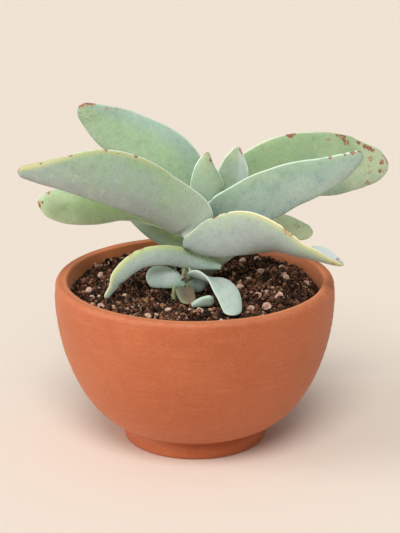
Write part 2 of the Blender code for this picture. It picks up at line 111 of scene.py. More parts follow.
# How far from the pot's axis each kind of loose bit lies.
CLOD_REACH, CRUMB_REACH, STONE_REACH, PUMICE_REACH = 61.5, 61.3, 59.0, 60.5
LOOSE_SEED = 17
# The least and the greatest stretch of a grain along each of its axes.
EVEN = [(0.7, 1.25)] * 3
CHIP = [(0.8, 2.2), (0.5, 1.1), (0.3, 0.8)]
THREAD = [(4.0, 8.0), (0.4, 0.9), (0.4, 0.9)]
# Where a leaf comes down on the mix: (x, y, radius, height that the mix stays under).
REST_SPOTS = [
    (-44.6, -23.0, 5.0, 79.4), (18.5, -42.0, 9.0, 79.2), (-4.2, -19.0, 9.0, 79.0), (-3.8, -28.0, 6.0, 78.9),
    (4.2, -31.5, 7.5, 78.4), (1.0, -11.0, 6.0, 79.0), (6.0, 2.0, 6.0, 82.0),
]
# A stone's hollow and the brim round it: the share of its radius, and how far it spreads in radians.
HOLLOW, HOLLOW_ANGLE = 0.5, 0.65
BRIM, BRIM_OFFSET, BRIM_ANGLE = 0.1, 0.3, 0.25
# The height and the size of these lumps are shares of the grain's radius.
CLOD_LUMPS = [(0.9, 0.3, 22), (0.45, 0.2, 23)]
STONE_LUMPS = [(0.8, 0.2, 21), (0.35, 0.12, 25)]
GRAIN_GAP = 7.0  # how far apart the grains lie in the noise
# The larger stones, which stand half out of the mix: (x, y, radius, how deeply its face is hollowed).
STONES = [
    (-47.6, 15.0, 1.9, 0.3), (-52.9, -5.3, 2.0, 0.0), (-46.5, -27.0, 1.8, 0.0), (-22.5, -43.6, 1.9, 0.5),
    (-13.0, -37.0, 1.9, 0.0), (-53.2, -27.0, 1.6, 0.0), (2.4, -36.6, 2.3, 0.0), (22.6, -6.0, 2.0, 0.0),
    (33.7, 17.4, 2.6, 0.7), (41.7, -20.4, 2.7, 0.9), (35.2, -31.4, 2.9, 0.9), (31.1, -19.4, 2.5, 0.6),
    (24.8, 35.2, 1.9, 0.0), (44.5, 27.8, 1.6, 0.0), (32.2, 40.2, 1.9, 0.4), (56.2, 7.1, 2.0, 0.3),
    (45.8, 15.0, 1.6, 0.6), (27.4, -34.6, 1.7, 0.6), (-50.8, -15.9, 1.5, 0.0), (46.1, 8.7, 1.8, 0.3),
]

# Round stems: stations up the middle, as (x, y, z, radius), and the heights of the leaf scars.
STEM_ROWS = 110
STEM_SIDES = 56
STEM_LUMPS = [(3.0, 0.22, 31), (0.9, 0.08, 32)]
SCAR_RISE = 0.35
SCAR_SPREAD = 0.7
SCAR_WAVE = 0.8  # how far a scar goes up and down round the stem
STEMS = {
    "stem": dict(
        stations=[
            (-1, 0.5, 66, 6.4), (0, 0.5, 84, 6.8), (1.5, 0.5, 101, 6.8), (4.5, 1.5, 114, 5.4),
            (8.5, 3, 124, 3.4),
        ],
        scars=[84.5, 91.0, 98.0, 105.0, 112.0],
    ),
    "pup_stem": dict(
        stations=[(-5, -10.4, 70, 2.4), (-4.8, -10.4, 80, 2.3), (-4.4, -10.2, 90, 1.6)],
        scars=[82.0, 86.0],
    ),
    "shoot": dict(
        stations=[(-10.6, -19, 72, 1.3), (-10.4, -19, 79, 1.2), (-10.2, -18, 85, 0.9)],
        scars=[82.5],
    ),
}

# A blade's section and skin, in mm.
ROUNDNESS = 2.6  # the superellipse's exponent: 2 is an ellipse, and more is blunter at the margins
SKIN_LUMPS = [(14.0, 0.13), (4.5, 0.05)]  # (size, height), as each leaf has numbers of its own
WAVE_SIZE = 9.0
WAVE_RISE = 0.25
NICK_DEPTH = 0.35
SIDES_APART = 40.0  # how far apart the two faces, and WAVE_SIZE the two margins, lie in the noise
NOSE_ROWS = 14
LEAST_CURL = 1e-3  # in radians, so that no blade is quite flat

# The camera looks at this point, in mm round the pot's axis.
CAMERA_TARGET = (2.55, 0.0, 89.5)
# The lights: (name, how wide it spreads in degrees, the direction that it comes from).
LIGHTS = [
    ("side", 36, (-0.92, -0.21, 0.34)),
    ("front", 30, (-0.04, -0.61, 0.79)),
    ("sky", 100, (0.0, -0.2, 1.0)),
]
FILL_COLOUR = (1.0, 0.995, 0.985, 1.0)

# What a leaf's look says where its own entry says nothing. body and second are the face's two
# colours. low, high, tip and edge are (colour, strength) towards the lower margin, the upper margin,
# the tip and in a band inside the upper margin, which is wider by tip_band mm at the tip. shade is
# the strength of the painted shade at the base, as far up as shade_to; where shade_paint is pale it is
# painted light instead. rim is that of the pale margin line, partly the margin's own colour and partly
# a painted highlight, which runs from the place across rim_from and fades out over the places along
# rim_fade, and low_rim that of the same line on the lower margin. The frost keys give a paler film
# over part of the face, which on the folded leaf is painted light, pores that of the dark pores, and
# bloom that of the powdery grain.
PLAIN_LOOK = dict(
    second="fresh_green", tip=("grey_green", 0.2), edge=("fresh_green", 0.2), tip_band=0.0,
    shade=0.5, shade_to=0.3, shade_paint="deep_green",
    rim=0.35, rim_paint="cool_rim", rim_from=-0.8, rim_fade=(2.4, 2.2), low_rim=0.0,
    frost=0.0, frost_across=(-0.1, -0.5), frost_along=(0.7, 0.8), pores=0.35, bloom=0.35,
)


def blade(slot, thick, nose, stations, marks=(), level=(0.0, 0.0, 1.0), **look):
    """A leaf's entry: a blade swept along its midline, from base to tip.

    Each station is (x, y, z, width, roll, curl), as in blade_surface(). thick is the thickness at the
    base and at the tip, and nose the length of the rounded tip. Each mark is (place along, place
    across, radius in mm, strength) of a patch of rusty freckles. look names the colours and their
    strength, as in PLAIN_LOOK.
    """
    shape = dict(thick=thick, nose=nose, stations=stations, marks=marks, level=level)
    return dict(slot=slot, look=PLAIN_LOOK | look, **shape)


LEAVES = {
    "leaf_upper_left_front": blade(
        "leaf_grey_green", thick=(3.4, 2.4), nose=2.5,
        stations=[
            (6, 1, 107, 8, -10, 10), (2.6, -5.6, 109.4, 14, -14, 15), (-2, -7.4, 116.4, 23.5, -14, 20),
            (-13.2, -12, 126.7, 25, 0, 20), (-29, -18, 137, 27.5, 8, 20), (-46, -23, 143.3, 25.5, 10, 15),
            (-63, -27, 145.4, 16.8, 10, 10), (-77, -28.5, 146.3, 9, 10, 10),
            (-84.6, -29, 147, 4.8, 10, 10),
        ],
        marks=[
            (1.0, 0.6, 1.0, 1.0), (0.897, 0.9, 1.0, 0.9), (0.8, 0.95, 1.0, 0.7), (0.774, 0.97, 1.2, 1.0),
            (0.69, 0.85, 0.9, 0.5), (0.672, 0.82, 0.8, 0.4), (0.632, 0.95, 1.0, 0.8),
            (0.584, 0.92, 0.9, 0.6), (0.509, 1.0, 1.3, 0.9),
        ],
        # Its base is painted paler with the bloom colour: painted light.
        body="grey_green", low=("mauve", 0.8), high=("fresh_green", 0.95), tip=("mauve", 0.6),
        edge=("yellow", 0.65), tip_band=1.5, shade=0.7, shade_to=0.4, shade_paint="bloom", rim=1.0,
        rim_fade=(1.35, 1.05),
    ),
    "leaf_upper_right_front": blade(
        "leaf_grey_green", thick=(3.4, 2.6), nose=3.0,
        stations=[
            (4.6, -1.6, 118.8, 6, -4, 5), (9, -2.7, 119.8, 10, -4, 10), (14, -4, 121.4, 15, -5, 15),
            (30.5, -5, 126.5, 24, -8, 20), (47, -5, 133.4, 22, -8, 15), (63, -5, 139, 17, -8, 10),
            (75, -4.5, 144.6, 10.5, -8, 10), (82, -4, 149.5, 5, -8, 10),
        ],
        marks=[
            (0.817, 0.9, 1.2, 0.9), (0.905, 0.85, 1.1, 0.8), (0.955, 0.85, 1.3, 1.0),
            (0.99, 1.0, 1.0, 0.9), (0.409, 0.05, 0.8, 0.4),
        ],
        body="grey_green", second="blue_green", low=("mauve", 0.4), high=("fresh_green", 0.5), rim=0.8,
        shade=0.8,
    ),
    "leaf_upper_right_back": blade(
        "leaf_green", thick=(4.0, 3.2), nose=7.0,
        stations=[
            (8, 4, 111, 8, -5, 10), (14, 9.8, 118, 12, -10, 10), (24, 13, 129.2, 23, -10, 20),
            (36, 15.5, 135.2, 28.2, -10, 20), (52, 18, 137.7, 32, -10, 20),
            (70, 20.5, 136.8, 31.6, -10, 15), (84, 24, 135.5, 23.4, -10, 10),
            (97.8, 26, 134, 12.6, -10, 10),
        ],
        marks=[
            (0.52, 1.0, 2.4, 1.0), (0.684, 0.78, 2.2, 0.55), (0.702, 1.0, 1.0, 0.8),
            (0.727, 0.95, 1.0, 0.8), (0.757, 0.92, 1.9, 1.0), (0.775, 0.76, 1.7, 1.0),
            (0.739, 0.65, 1.0, 0.6), (0.837, 0.9, 1.4, 1.0), (0.872, 0.86, 1.6, 1.0),
            (0.892, 0.84, 1.6, 1.0), (0.91, 0.8, 1.5, 0.9), (0.902, 0.35, 1.8, 0.8),
            (0.982, 1.0, 2.2, 0.8), (0.96, 0.3, 1.8, 0.8), (0.957, -0.32, 1.5, 0.8),
            (0.905, -0.32, 1.2, 0.7), (0.895, 0.03, 1.2, 0.7), (0.9, -0.85, 1.6, 0.8),
            (0.877, -0.5, 1.0, 0.6), (0.98, -0.3, 1.8, 0.5),
        ],
        body="fresh_green", second="spring_green", low=("blue_green", 0.5), high=("spring_green", 0.5),
        tip=("pale_green", 0.7), rim=0.7, rim_paint="rim", rim_fade=(1.3, 0.9),
    ),
    "leaf_upper_left_back": blade(
        "leaf_green", thick=(4.0, 2.8), nose=3.0,
        stations=[
            (5, 4, 117, 8, 5, 10), (1.5, 8, 124, 13, 8, 10), (-4, 11, 132.5, 22.6, 10, 20),
            (-14, 15, 142.4, 26, 10, 20), (-28, 20, 149, 25.4, 10, 20), (-42.4, 25, 154.6, 23, 10, 15),
            (-52.5, 29, 160, 14, 10, 10), (-58.5, 31.5, 164, 6.5, 10, 10),
        ],
        marks=[
            (0.985, 0.6, 1.7, 1.0), (0.955, 0.95, 1.9, 1.0), (0.93, 0.95, 1.5, 0.9),
            (0.93, -0.5, 2.4, 0.5), (0.88, -0.6, 2.6, 0.5), (0.82, -0.6, 2.2, 0.45),
            (0.9, -0.1, 2.6, 0.5), (0.86, 0.4, 2.2, 0.45), (0.76, -0.35, 1.4, 0.4),
            (0.62, 0.97, 1.2, 0.5), (0.987, 0.15, 1.2, 0.7), (0.965, -0.38, 1.1, 0.6),
            (0.935, 0.28, 1.0, 0.6), (0.842, 0.8, 1.1, 0.7), (0.822, 0.85, 1.1, 0.7),
            (0.782, 0.93, 1.1, 0.7), (0.754, 0.95, 1.1, 0.6), (0.729, 0.95, 1.2, 0.6),
            (0.942, -0.8, 1.2, 0.5), (0.862, 0.05, 0.9, 0.5), (0.885, 0.2, 0.9, 0.5),
        ],
        body="fresh_green", low=("grey_green", 0.3), high=("blue_green", 0.75), tip=("olive", 0.2),
        shade=0.65, shade_to=0.5, pores=0.7, rim=0.5,
    ),
    "leaf_middle_left": blade(
        "leaf_bright_green", thick=(4.0, 3.0), nose=7.0,
        stations=[
            (0, 1, 105, 7, 20, 20), (-8, 3, 110, 9, 25, 20), (-20, 4, 115, 10.5, 30, 20),
            (-35, 4, 119.4, 13.5, 30, 20), (-50, 2, 119.6, 17, 25, 20), (-64, 0, 121, 17.5, 20, 20),
            (-77.5, -2, 124.3, 11, 15, 10),
        ],
        marks=[
            (0.99, -0.7, 1.5, 1.0), (0.975, -0.1, 1.2, 0.8), (0.95, 0.83, 1.4, 0.8),
            (0.93, 0.95, 1.0, 0.6),
        ],
        body="spring_green", second="bright_green", low=("pale_green", 0.4), high=("spring_green", 0.6),
        tip=("pale_mint_and_painted_light", 0.5), shade=0.4, shade_to=0.3, low_rim=0.9, bloom=0.15,
    ),
    "leaf_lower_left_back": blade(
        "leaf_bright_green", thick=(4.2, 2.8), nose=5.0,
        stations=[
            (0, 3, 96, 8, 20, 20), (-8, 9, 99.5, 13, 20, 20), (-18, 15.5, 106, 17, 20, 20),
            (-29.5, 22.5, 113.5, 15, 20, 15), (-39, 28, 119, 6, 20, 10),
        ],
        marks=[(0.8, 0.5, 1.0, 0.5)],
        # The dark olive body is partly painted shade, as this leaf lies under the leaves above.
        body="olive", second="bright_green", low=("grey_green", 0.6), high=("bright_green", 0.4), shade=0,
        bloom=0.1,
    ),
    "leaf_middle_right_front": blade(
        "leaf_grey_green", thick=(3.4, 2.0), nose=2.5,
        stations=[
            (0, -2, 102, 5, 0, 0), (-4.4, -9.8, 105, 5, 0, -10), (3.5, -13.2, 107, 15.8, 0, -20),
            (12, -16, 109.9, 21.4, 0, -25), (25, -19.5, 112.6, 23.3, 5, -30),
            (38, -22.5, 110, 20.6, 25, -50), (50, -24, 104, 18, 55, -100),
            (61, -24, 101.2, 16.5, 88, -160), (72.5, -26, 98.9, 4.6, 92, -130),
        ],
        marks=[
            (0.318, 1.0, 1.0, 0.9), (0.298, 1.0, 1.2, 0.9), (0.371, 1.0, 1.1, 0.8),
            (0.373, 0.7, 0.8, 0.4), (0.506, 0.82, 1.2, 0.5), (0.637, 0.95, 1.7, 0.9),
            (0.664, 0.95, 1.4, 0.8), (0.947, 0.1, 1.2, 0.8), (0.98, 0.0, 1.2, 0.8), (0.95, 0.6, 1.4, 0.8),
            (0.96, -0.6, 1.2, 0.7), (0.348, -0.42, 0.8, 0.6),
        ],
        # The paler film on the fold's far side is painted light, standing for sky light.
        body="silver", second="silver", low=("mauve", 0.4), high=("spring_green", 0.35),
        edge=("yellow", 0.8), frost=0.6, bloom=0.25, rim=0.8, rim_paint="rim", rim_fade=(2.0, 1.0),
    ),
    "leaf_lower_left_front": blade(
        "leaf_grey_green", thick=(3.0, 2.0), nose=2.0,
        stations=[
            (13, -10, 92.3, 2.5, 10, 20), (5, -9.2, 94.4, 7, 10, 20), (-2.5, -8.8, 96.2, 9.5, 15, 20),
            (-14.5, -14, 100, 10.4, 20, 20), (-27, -17.5, 99.2, 9.4, 20, 20), (-37, -20, 91, 7.8, 15, 20),
            (-40.2, -21.5, 85.9, 4.6, 10, 15), (-44.1, -23, 80.7, 2.8, 10, 10),
        ],
        marks=[(0.145, 0.8, 0.9, 0.7), (0.654, 0.9, 1.6, 0.6), (0.594, 0.9, 1.8, 0.6)],
        body="grey_green", second="silver", low=("silver", 0.6), high=("bright_green", 0.8),
        edge=("yellow", 0.6), shade=0.1,
    ),
    "leaf_lower_right_back": blade(
        "leaf_green", thick=(4.0, 3.2), nose=4.0,
        stations=[
            (-1, 1, 86, 8, 0, 20), (6, 2.5, 90.5, 12, -5, 20), (15, 5, 97.5, 13, -10, 20),
            (28, 10, 104.5, 13, -15, 20), (42, 16, 105.8, 12.5, -15, 20),
            (52, 19.5, 102.3, 10.5, -15, 15), (60, 22.5, 100, 6, -15, 10),
        ],
        marks=[(0.865, 0.45, 1.0, 0.6), (0.93, 0.9, 1.0, 0.5), (0.97, 0.05, 1.4, 0.5)],
        # Painted light: this leaf lies in the shade of the leaves above, so it is painted near-white mint
        # all over to look lit; only its base keeps painted shade.
        body="pale_mint_and_painted_light", second="pale_mint_and_painted_light", low=("pale_mint_and_painted_light", 0.5), high=("pale_mint_and_painted_light", 0.5),
        tip=("pale_mint_and_painted_light", 0.4), shade=0.7, shade_to=0.45, pores=0.15, bloom=0.05,
    ),
}
SMALL_LEAVES = {
    "leaf_young_front": blade(
        "leaf_green", thick=(3.0, 1.8), nose=1.4, level=(0, 1, 0),
        stations=[
            (8.3, 0.4, 121, 6, 90, -30), (6.9, 0.4, 126, 14, 90, -50), (6.0, 0.6, 132, 17, 90, -50),
            (5.2, 1.6, 140, 11, 90, -40), (6.4, 3.2, 148.2, 2, 90, -30),
        ],
        marks=[
            (0.97, 0.3, 1.0, 0.6), (0.86, -0.75, 1.1, 0.9), (0.94, 0.8, 0.9, 0.6), (0.99, -0.4, 0.8, 0.6),
        ],
        body="grey_green", low=("fresh_green", 0.4), high=("fresh_green", 0.4), tip=("yellow", 0.3),
        rim=1.0, rim_from=-9,
    ),
    "leaf_young_back": blade(
        "leaf_green", thick=(3.0, 1.8), nose=1.6, level=(0, 1, 0),
        stations=[
            (10, 5, 121, 8, 90, 30), (14, 5.6, 127, 14, 90, 40), (18.5, 7, 134.5, 16.5, 90, 50),
            (19.8, 8.2, 142, 12, 90, 40), (21.2, 9, 149.5, 2.6, 90, 30),
        ],
        marks=[(1.0, 0.0, 1.0, 0.6), (0.93, -0.9, 1.4, 0.9), (0.97, 0.7, 0.8, 0.5)],
        body="grey_green", low=("blue_green", 0.6), high=("fresh_green", 0.4), tip=("pale_green", 0.5),
        rim=0.9, rim_from=-9, frost=0.3, frost_across=(-0.15, -0.5), frost_along=(-1.0, 0.0),
    ),
    "pup_leaf_left": blade(
        "pup_blue_green", thick=(2.8, 2.4), nose=4.0,
        stations=[
            (-5, -13.9, 83.9, 1.6, 30, 20), (-8.6, -12.6, 85.7, 7.4, 30, 20),
            (-14.5, -11.4, 87.5, 11.4, 25, 20), (-24.2, -11, 88, 9.5, 25, 20),
        ],
        body="mint", second="silver", low=("grey_green", 0.3), high=("mint", 0.4), shade=0.9,
        shade_to=0.5, rim_from=-2,
    ),
    "pup_leaf_right": blade(
        "pup_blue_green", thick=(2.8, 2.2), nose=4.0,
        stations=[
            (-2.2, -12.6, 90, 5, 52, -40), (1.7, -15.4, 89.8, 10, 54, -70),
            (5.5, -18.6, 89.4, 11.6, 60, -80), (11, -23.8, 89.2, 12, 82, -50),
            (15.2, -31, 86.8, 11.6, 100, -10), (17.6, -38, 83.8, 10.6, 95, 10),
            (18.7, -47.6, 80.7, 8, 90, 20),
        ],
        body="mint", second="silver", low=("mint", 0.4), high=("mint", 0.4), shade=0.4, rim=0.3,
        rim_from=-2,
    ),
    "pup_leaf_middle": blade(
        "pup_blue_green", thick=(2.6, 2.2), nose=3.0,
        stations=[
            (-4, -10.6, 86, 5, 0, -20), (0.5, -10.6, 84.8, 10.5, 0, -20), (5.6, -11.8, 83, 8, 0, -20),
        ],
        body="grey_green", second="silver", low=("olive", 0.3), high=("blue_green", 0.4), shade=0.2,
    ),
    "pup_leaf_dry": blade(
        "dry_leaf", thick=(2.0, 1.6), nose=2.6,
        stations=[
            (-5, -12.2, 80.8, 5, 90, -20), (-5.2, -17.5, 83.4, 8.4, 90, -30),
            (-4.3, -24, 82.2, 8.8, 90, -30), (-3.0, -30.5, 80.3, 6.8, 90, -20),
        ],
        body="dry", second="dry", low=("scar", 0.4), high=("olive", 0.4), tip=("scar", 0.4), rim=0.0,
        bloom=0.1,
    ),
    "seedling_leaf": blade(
        "pup_blue_green", thick=(2.8, 3), nose=2.6,
        stations=[
            (-1.4, -31.5, 80, 2.4, 10, 20), (4, -31.5, 81.9, 5.6, 10, 20), (9.4, -31.5, 83, 6.2, 10, 20),
        ],
        body="grey_green", second="mint", low=("grey_green", 0.7), high=("mint", 0.2), rim=0.2,
    ),
}
# Dried and half-grown leaf bases that stand round the offshoot's stem.
REMNANTS = {
    "remnant_pale": blade(
        "dry_leaf", thick=(1.2, 0.8), nose=0.6,
        stations=[(-6.2, -10, 82, 2, 0, 20), (-9, -9.8, 88, 2, 10, 20), (-9.8, -10.4, 93.4, 1.4, 20, 20)],
        body="mint", second="dry", low=("dry", 0.5), high=("mint", 0.5), shade=0.3,
    ),
    "remnant_brown": blade(
        "dry_leaf", thick=(1.0, 0.7), nose=0.8,
        stations=[
            (-4.4, -12.9, 86.4, 1.6, 0, 40), (-5.2, -13.3, 89.5, 2.2, 15, 40),
            (-5, -13.1, 92.8, 1.2, 20, 30),
        ],
        body="scar", second="dry", low=("scar", 0.5), high=("pale_green", 0.3), rim=0.1,
    ),
    "remnant_green": blade(
        "dry_leaf", thick=(1.0, 0.7), nose=0.8,
        stations=[
            (-3.4, -12.3, 87, 1.4, 0, 30), (-2.5, -12.7, 90, 1.8, 10, 30), (-2.8, -12.3, 93, 1.2, 10, 20),
        ],
        body="bright_green", second="olive", low=("olive", 0.5), high=("fresh_green", 0.5),
    ),
    "remnant_hook": blade(
        "dry_leaf", thick=(0.9, 0.6), nose=0.8,
        stations=[
            (-4.2, -13, 89.2, 1.6, 40, 30), (-5.8, -13.9, 88.6, 1.8, 50, 30),
            (-6.9, -14.3, 87.2, 0.8, 60, 20),
        ],
        body="dry", second="scar", low=("dry", 0.5), high=("pale_green", 0.5), rim=0.1,
    ),
    "remnant_side": blade(
        "dry_leaf", thick=(1.0, 0.6), nose=0.6,
        stations=[
            (-2.6, -11.8, 86.6, 1.4, 0, 30), (-1.5, -12.4, 89.8, 1.4, 10, 30),
            (-1.2, -12.5, 92.4, 0.8, 10, 20),
        ],
        body="olive", second="scar", low=("scar", 0.5), high=("olive", 0.5), rim=0.1,
    ),
}


# Curves and noise


def unit(vectors):
    return vectors / np.linalg.norm(vectors, axis=-1, keepdims=True)


def smooth_step(values, low, high):
    """0 below low, 1 above high, and 3t^2 - 2t^3 between them."""
    t = np.clip((values - low) / (high - low), 0, 1)
    return t * t * (3 - 2 * t)


def smooth_curve(points, shares):
    """Values of a Catmull-Rom curve through points at the given shares, 0 to 1, of its run."""
    before = 2 * points[:1] - points[1:2]
    after = 2 * points[-1:] - points[-2:-1]
    p = np.concatenate([before, points, after])
    place = np.clip(shares, 0, 1) * (len(points) - 1)
    i = np.minimum(place.astype(int), len(points) - 2)
    t = (place - i)[:, None]
    a, b, c, d = p[i], p[i + 1], p[i + 2], p[i + 3]
    return 0.5 * (2 * b + (c - a) * t + (2 * a - 5 * b + 4 * c - d) * t**2 + (3 * b - a - 3 * c + d) * t**3)


def heading(points, shares):
    """Unit directions of the smooth curve through points at the given shares."""
    inner = np.clip(shares, 1e-3, 1 - 1e-3)
    return unit(smooth_curve(points, inner + 1e-3) - smooth_curve(points, inner - 1e-3))


def bezier(start, first_handle, second_handle, end, count):
    t = np.linspace(0, 1, count)[:, None]
    a, b, c, d = (np.array(p, float) for p in (start, first_handle, second_handle, end))
    return (1 - t) ** 3 * a + 3 * (1 - t) ** 2 * t * b + 3 * (1 - t) * t**2 * c + t**3 * d


def arc(centre, radius, start, end, count):
    """Points of an arc in the (radius, height) plane, from start to end degrees."""
    angle = np.radians(np.linspace(start, end, count))[:, None]
    return np.array(centre) + radius * np.concatenate([np.cos(angle), np.sin(angle)], axis=1)


def run_along(points):
    """How far along the line through points each one lies."""
    return np.concatenate([[0], np.cumsum(np.linalg.norm(np.diff(points, axis=0), axis=1))])


def turns(sides):
    """Angles at even steps once round, as one row."""
    return np.linspace(0, 2 * math.pi, sides, endpoint=False)[None, :]


def round_axis(out, up, turn):
    """Points at the distance out from the Z axis and the height up, at each angle of turn."""
    return np.stack(np.broadcast_arrays(out * np.cos(turn), out * np.sin(turn), up), axis=-1)


def scatter(places, seed):
    """A random value from 0 to 1 for each whole-number place, made by multiplying and shifting it."""
    key = places @ np.array([374761393, 668265263, 2246822519]) + seed * 3266489917
    key = (key ^ (key >> 13)) * 1274126177
    return ((key ^ (key >> 16)) & 0xFFFF) / 65535


def lumps(points, size, seed):
    """Smooth noise from -1 to 1 at points, with lumps about as far apart as size.

    Space is cut into cubes with edges of that size. Each cube's corner has a random value, and a
    point takes the eight values round it, blended along each axis by the smooth step.
    """
    place = points / size
    cell = np.floor(place).astype(np.int64)
    part = smooth_step(place - cell, 0, 1)
    total = np.zeros(points.shape[:-1])
    for corner in np.ndindex(2, 2, 2):
        weight = np.prod(np.where(corner, part, 1 - part), axis=-1)
        total += weight * (2 * scatter(cell + corner, seed) - 1)
    return total


# Meshes


def loop_faces(rows, columns):
    """Quads of a grid that closes on itself both ways, like a ring."""
    i = np.arange(rows)[:, None]
    j = np.arange(columns)[None, :]
    below, beside = (i + 1) % rows, (j + 1) % columns
    corners = [i * columns + j, i * columns + beside, below * columns + beside, below * columns + j]
    return np.stack(corners, axis=-1).reshape(-1, 4)


def tube_faces(rows, columns):
    """Faces of a grid whose rows each close on themselves and which ends in one point at each end.

    The points are numbered row by row, followed by the point that closes the first row and the
    point that closes the last. Gives the quads and the triangles.
    """
    j = np.arange(columns)
    k = (j + 1) % columns
    last = (rows - 1) * columns
    start = np.full(columns, rows * columns)
    caps = np.concatenate([np.stack([start, k, j], 1), np.stack([start + 1, last + j, last + k], 1)])
    return loop_faces(rows, columns)[:last], caps


def faces_outward(points, face_sets):
    """All faces as one list, turned over if the volume that they close comes out negative."""
    volume = 0.0
    for faces in face_sets:
        for k in range(1, faces.shape[1] - 1):
            a, b, c = points[faces[:, 0]], points[faces[:, k]], points[faces[:, k + 1]]
            volume += np.einsum("ij,ij->", a, np.cross(b, c))
    way = 1 if volume > 0 else -1
    return [face for faces in face_sets for face in faces[:, ::way].tolist()]


def add_piece(name, points, face_sets, finish, slot, nodes=(), facets=False, **attributes):
    """A finished piece, smooth or with facets, that rides on the pot's body and stands for the named
    CAD nodes. The points are in mm round the pot's axis, and the attributes are values for each
    point that the finish reads."""
    old = bpy.data.objects.get(name)
    if old:
        bpy.data.objects.remove(old)
    placed = points * MM + AXIS
    mesh = bpy.data.meshes.new(name)
    mesh.from_pydata(placed, [], faces_outward(placed, face_sets), shade_flat=facets)
    mesh.validate()
    for key, values in attributes.items():
        layer = mesh.attributes.new(key, "FLOAT", "POINT")
        layer.data.foreach_set("value", np.asarray(values, np.float32).ravel())
    mesh.materials.append(finish)
    piece = bpy.data.objects.new(name, mesh)
    bpy.context.scene.collection.objects.link(piece)
    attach(piece, "root")
    if nodes:
        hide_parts(*nodes)


def add_tube(name, rings, ends, finish, slot, nodes, **attributes):
    """A piece made of rings of points and of a point that closes each end."""
    points = np.concatenate([rings.reshape(-1, 3), ends])
    add_piece(name, points, tube_faces(*rings.shape[:2]), finish, slot, nodes, **attributes)


# Finishes


class Finish:
    """A material under construction. coat() changes its colour so far, and each other call adds a
    node and gives back the output to use."""

    def __init__(self, name, colour, roughness, **constants):
        old = bpy.data.materials.get(name)
        if old:
            bpy.data.materials.remove(old)
        self.colour = colour
        self.material = bpy.data.materials.new(name)
        self.material.use_nodes = True
        self.tree = self.material.node_tree
        self.shader = self.tree.nodes["Principled BSDF"]
        for key, value in dict(Roughness=roughness, **constants).items():
            self.shader.inputs[key.replace("_", " ")].default_value = value
        self.object_place = self.add("TexCoord", {}, "Object")

    def put(self, socket, value):
        if isinstance(value, bpy.types.NodeSocket):
            self.tree.links.new(value, socket)
        else:
            socket.default_value = value

    def add(self, kind, inputs, output=0, **settings):
        node = self.tree.nodes.new("ShaderNode" + kind)
        for key, value in settings.items():
            setattr(node, key, value)
        for key, value in inputs.items():
            self.put(node.inputs[key], value)
        return node.outputs[output]

    def value(self, name):
        """The piece's own values of that name."""
        return self.add("Attribute", {}, "Fac", attribute_name=name)

    def stretched(self, x, y, z):
        """The place on the piece with each axis multiplied."""
        return self.add("VectorMath", {0: self.object_place, 1: (x, y, z)}, operation="MULTIPLY")

    def noise(self, size, detail=3.0, place=None):
        """Noise from 0 to 1 with features of about that size in mm."""
        at = self.object_place if place is None else place
        inputs = {"Vector": at, "Scale": 1 / (size * MM), "Detail": detail, "Roughness": 0.55}
        return self.add("TexNoise", inputs, "Fac", noise_dimensions="4D")

    def cells(self, size, output="Distance"):
        """Scattered cells: the distance to the nearest centre in cell sizes, or its random colour."""
        inputs = {"Vector": self.object_place, "Scale": 1 / (size * MM)}
        return self.add("TexVoronoi", inputs, output)

    def step(self, value, low, high):
        """0 at low, 1 at high and smooth between them, also where low is the greater."""
        inputs = {"Value": value, "From Min": low, "From Max": high}
        return self.add("MapRange", inputs, "Result", interpolation_type="SMOOTHSTEP")

    def sum(self, a, b):
        return self.add("Math", {0: a, 1: b}, operation="ADD")

    def product(self, a, b):
        return self.add("Math", {0: a, 1: b}, operation="MULTIPLY")

    def total(self, *terms):
        """The sum of each term's source times its weight."""
        so_far = 0.0
        for source, weight in terms:
            so_far = self.sum(so_far, self.product(source, weight))
        return so_far

    def blend(self, share, first, second):
        """Colour that goes from first to second as share goes from 0 to 1."""
        node = self.tree.nodes.new("ShaderNodeMix")
        node.data_type = "RGBA"
        self.put(node.inputs[0], share)
        for socket, colour in ((node.inputs[6], first), (node.inputs[7], second)):
            is_output = isinstance(colour, bpy.types.NodeSocket)
            self.put(socket, colour if is_output else (*colour, 1.0))
        return node.outputs[2]

    def coat(self, paint, share, value=None, low=0.0, high=1.0):
        """Paint over the colour so far, by share at most, more as value goes from low to high."""
        if value is not None:
            share = self.product(self.step(value, low, high), share)
        self.colour = self.blend(share, self.colour, paint)

    def finish(self, relief, roughness=None):
        """Joins up the colour, the relief in mm and a roughness, and gives the material."""
        self.put(self.shader.inputs["Base Color"], self.colour)
        bump = {"Height": relief, "Distance": MM, "Strength": 1.0}
        self.put(self.shader.inputs["Normal"], self.add("Bump", bump, "Normal"))
        if roughness is not None:
            self.put(self.shader.inputs["Roughness"], roughness)
        return self.material


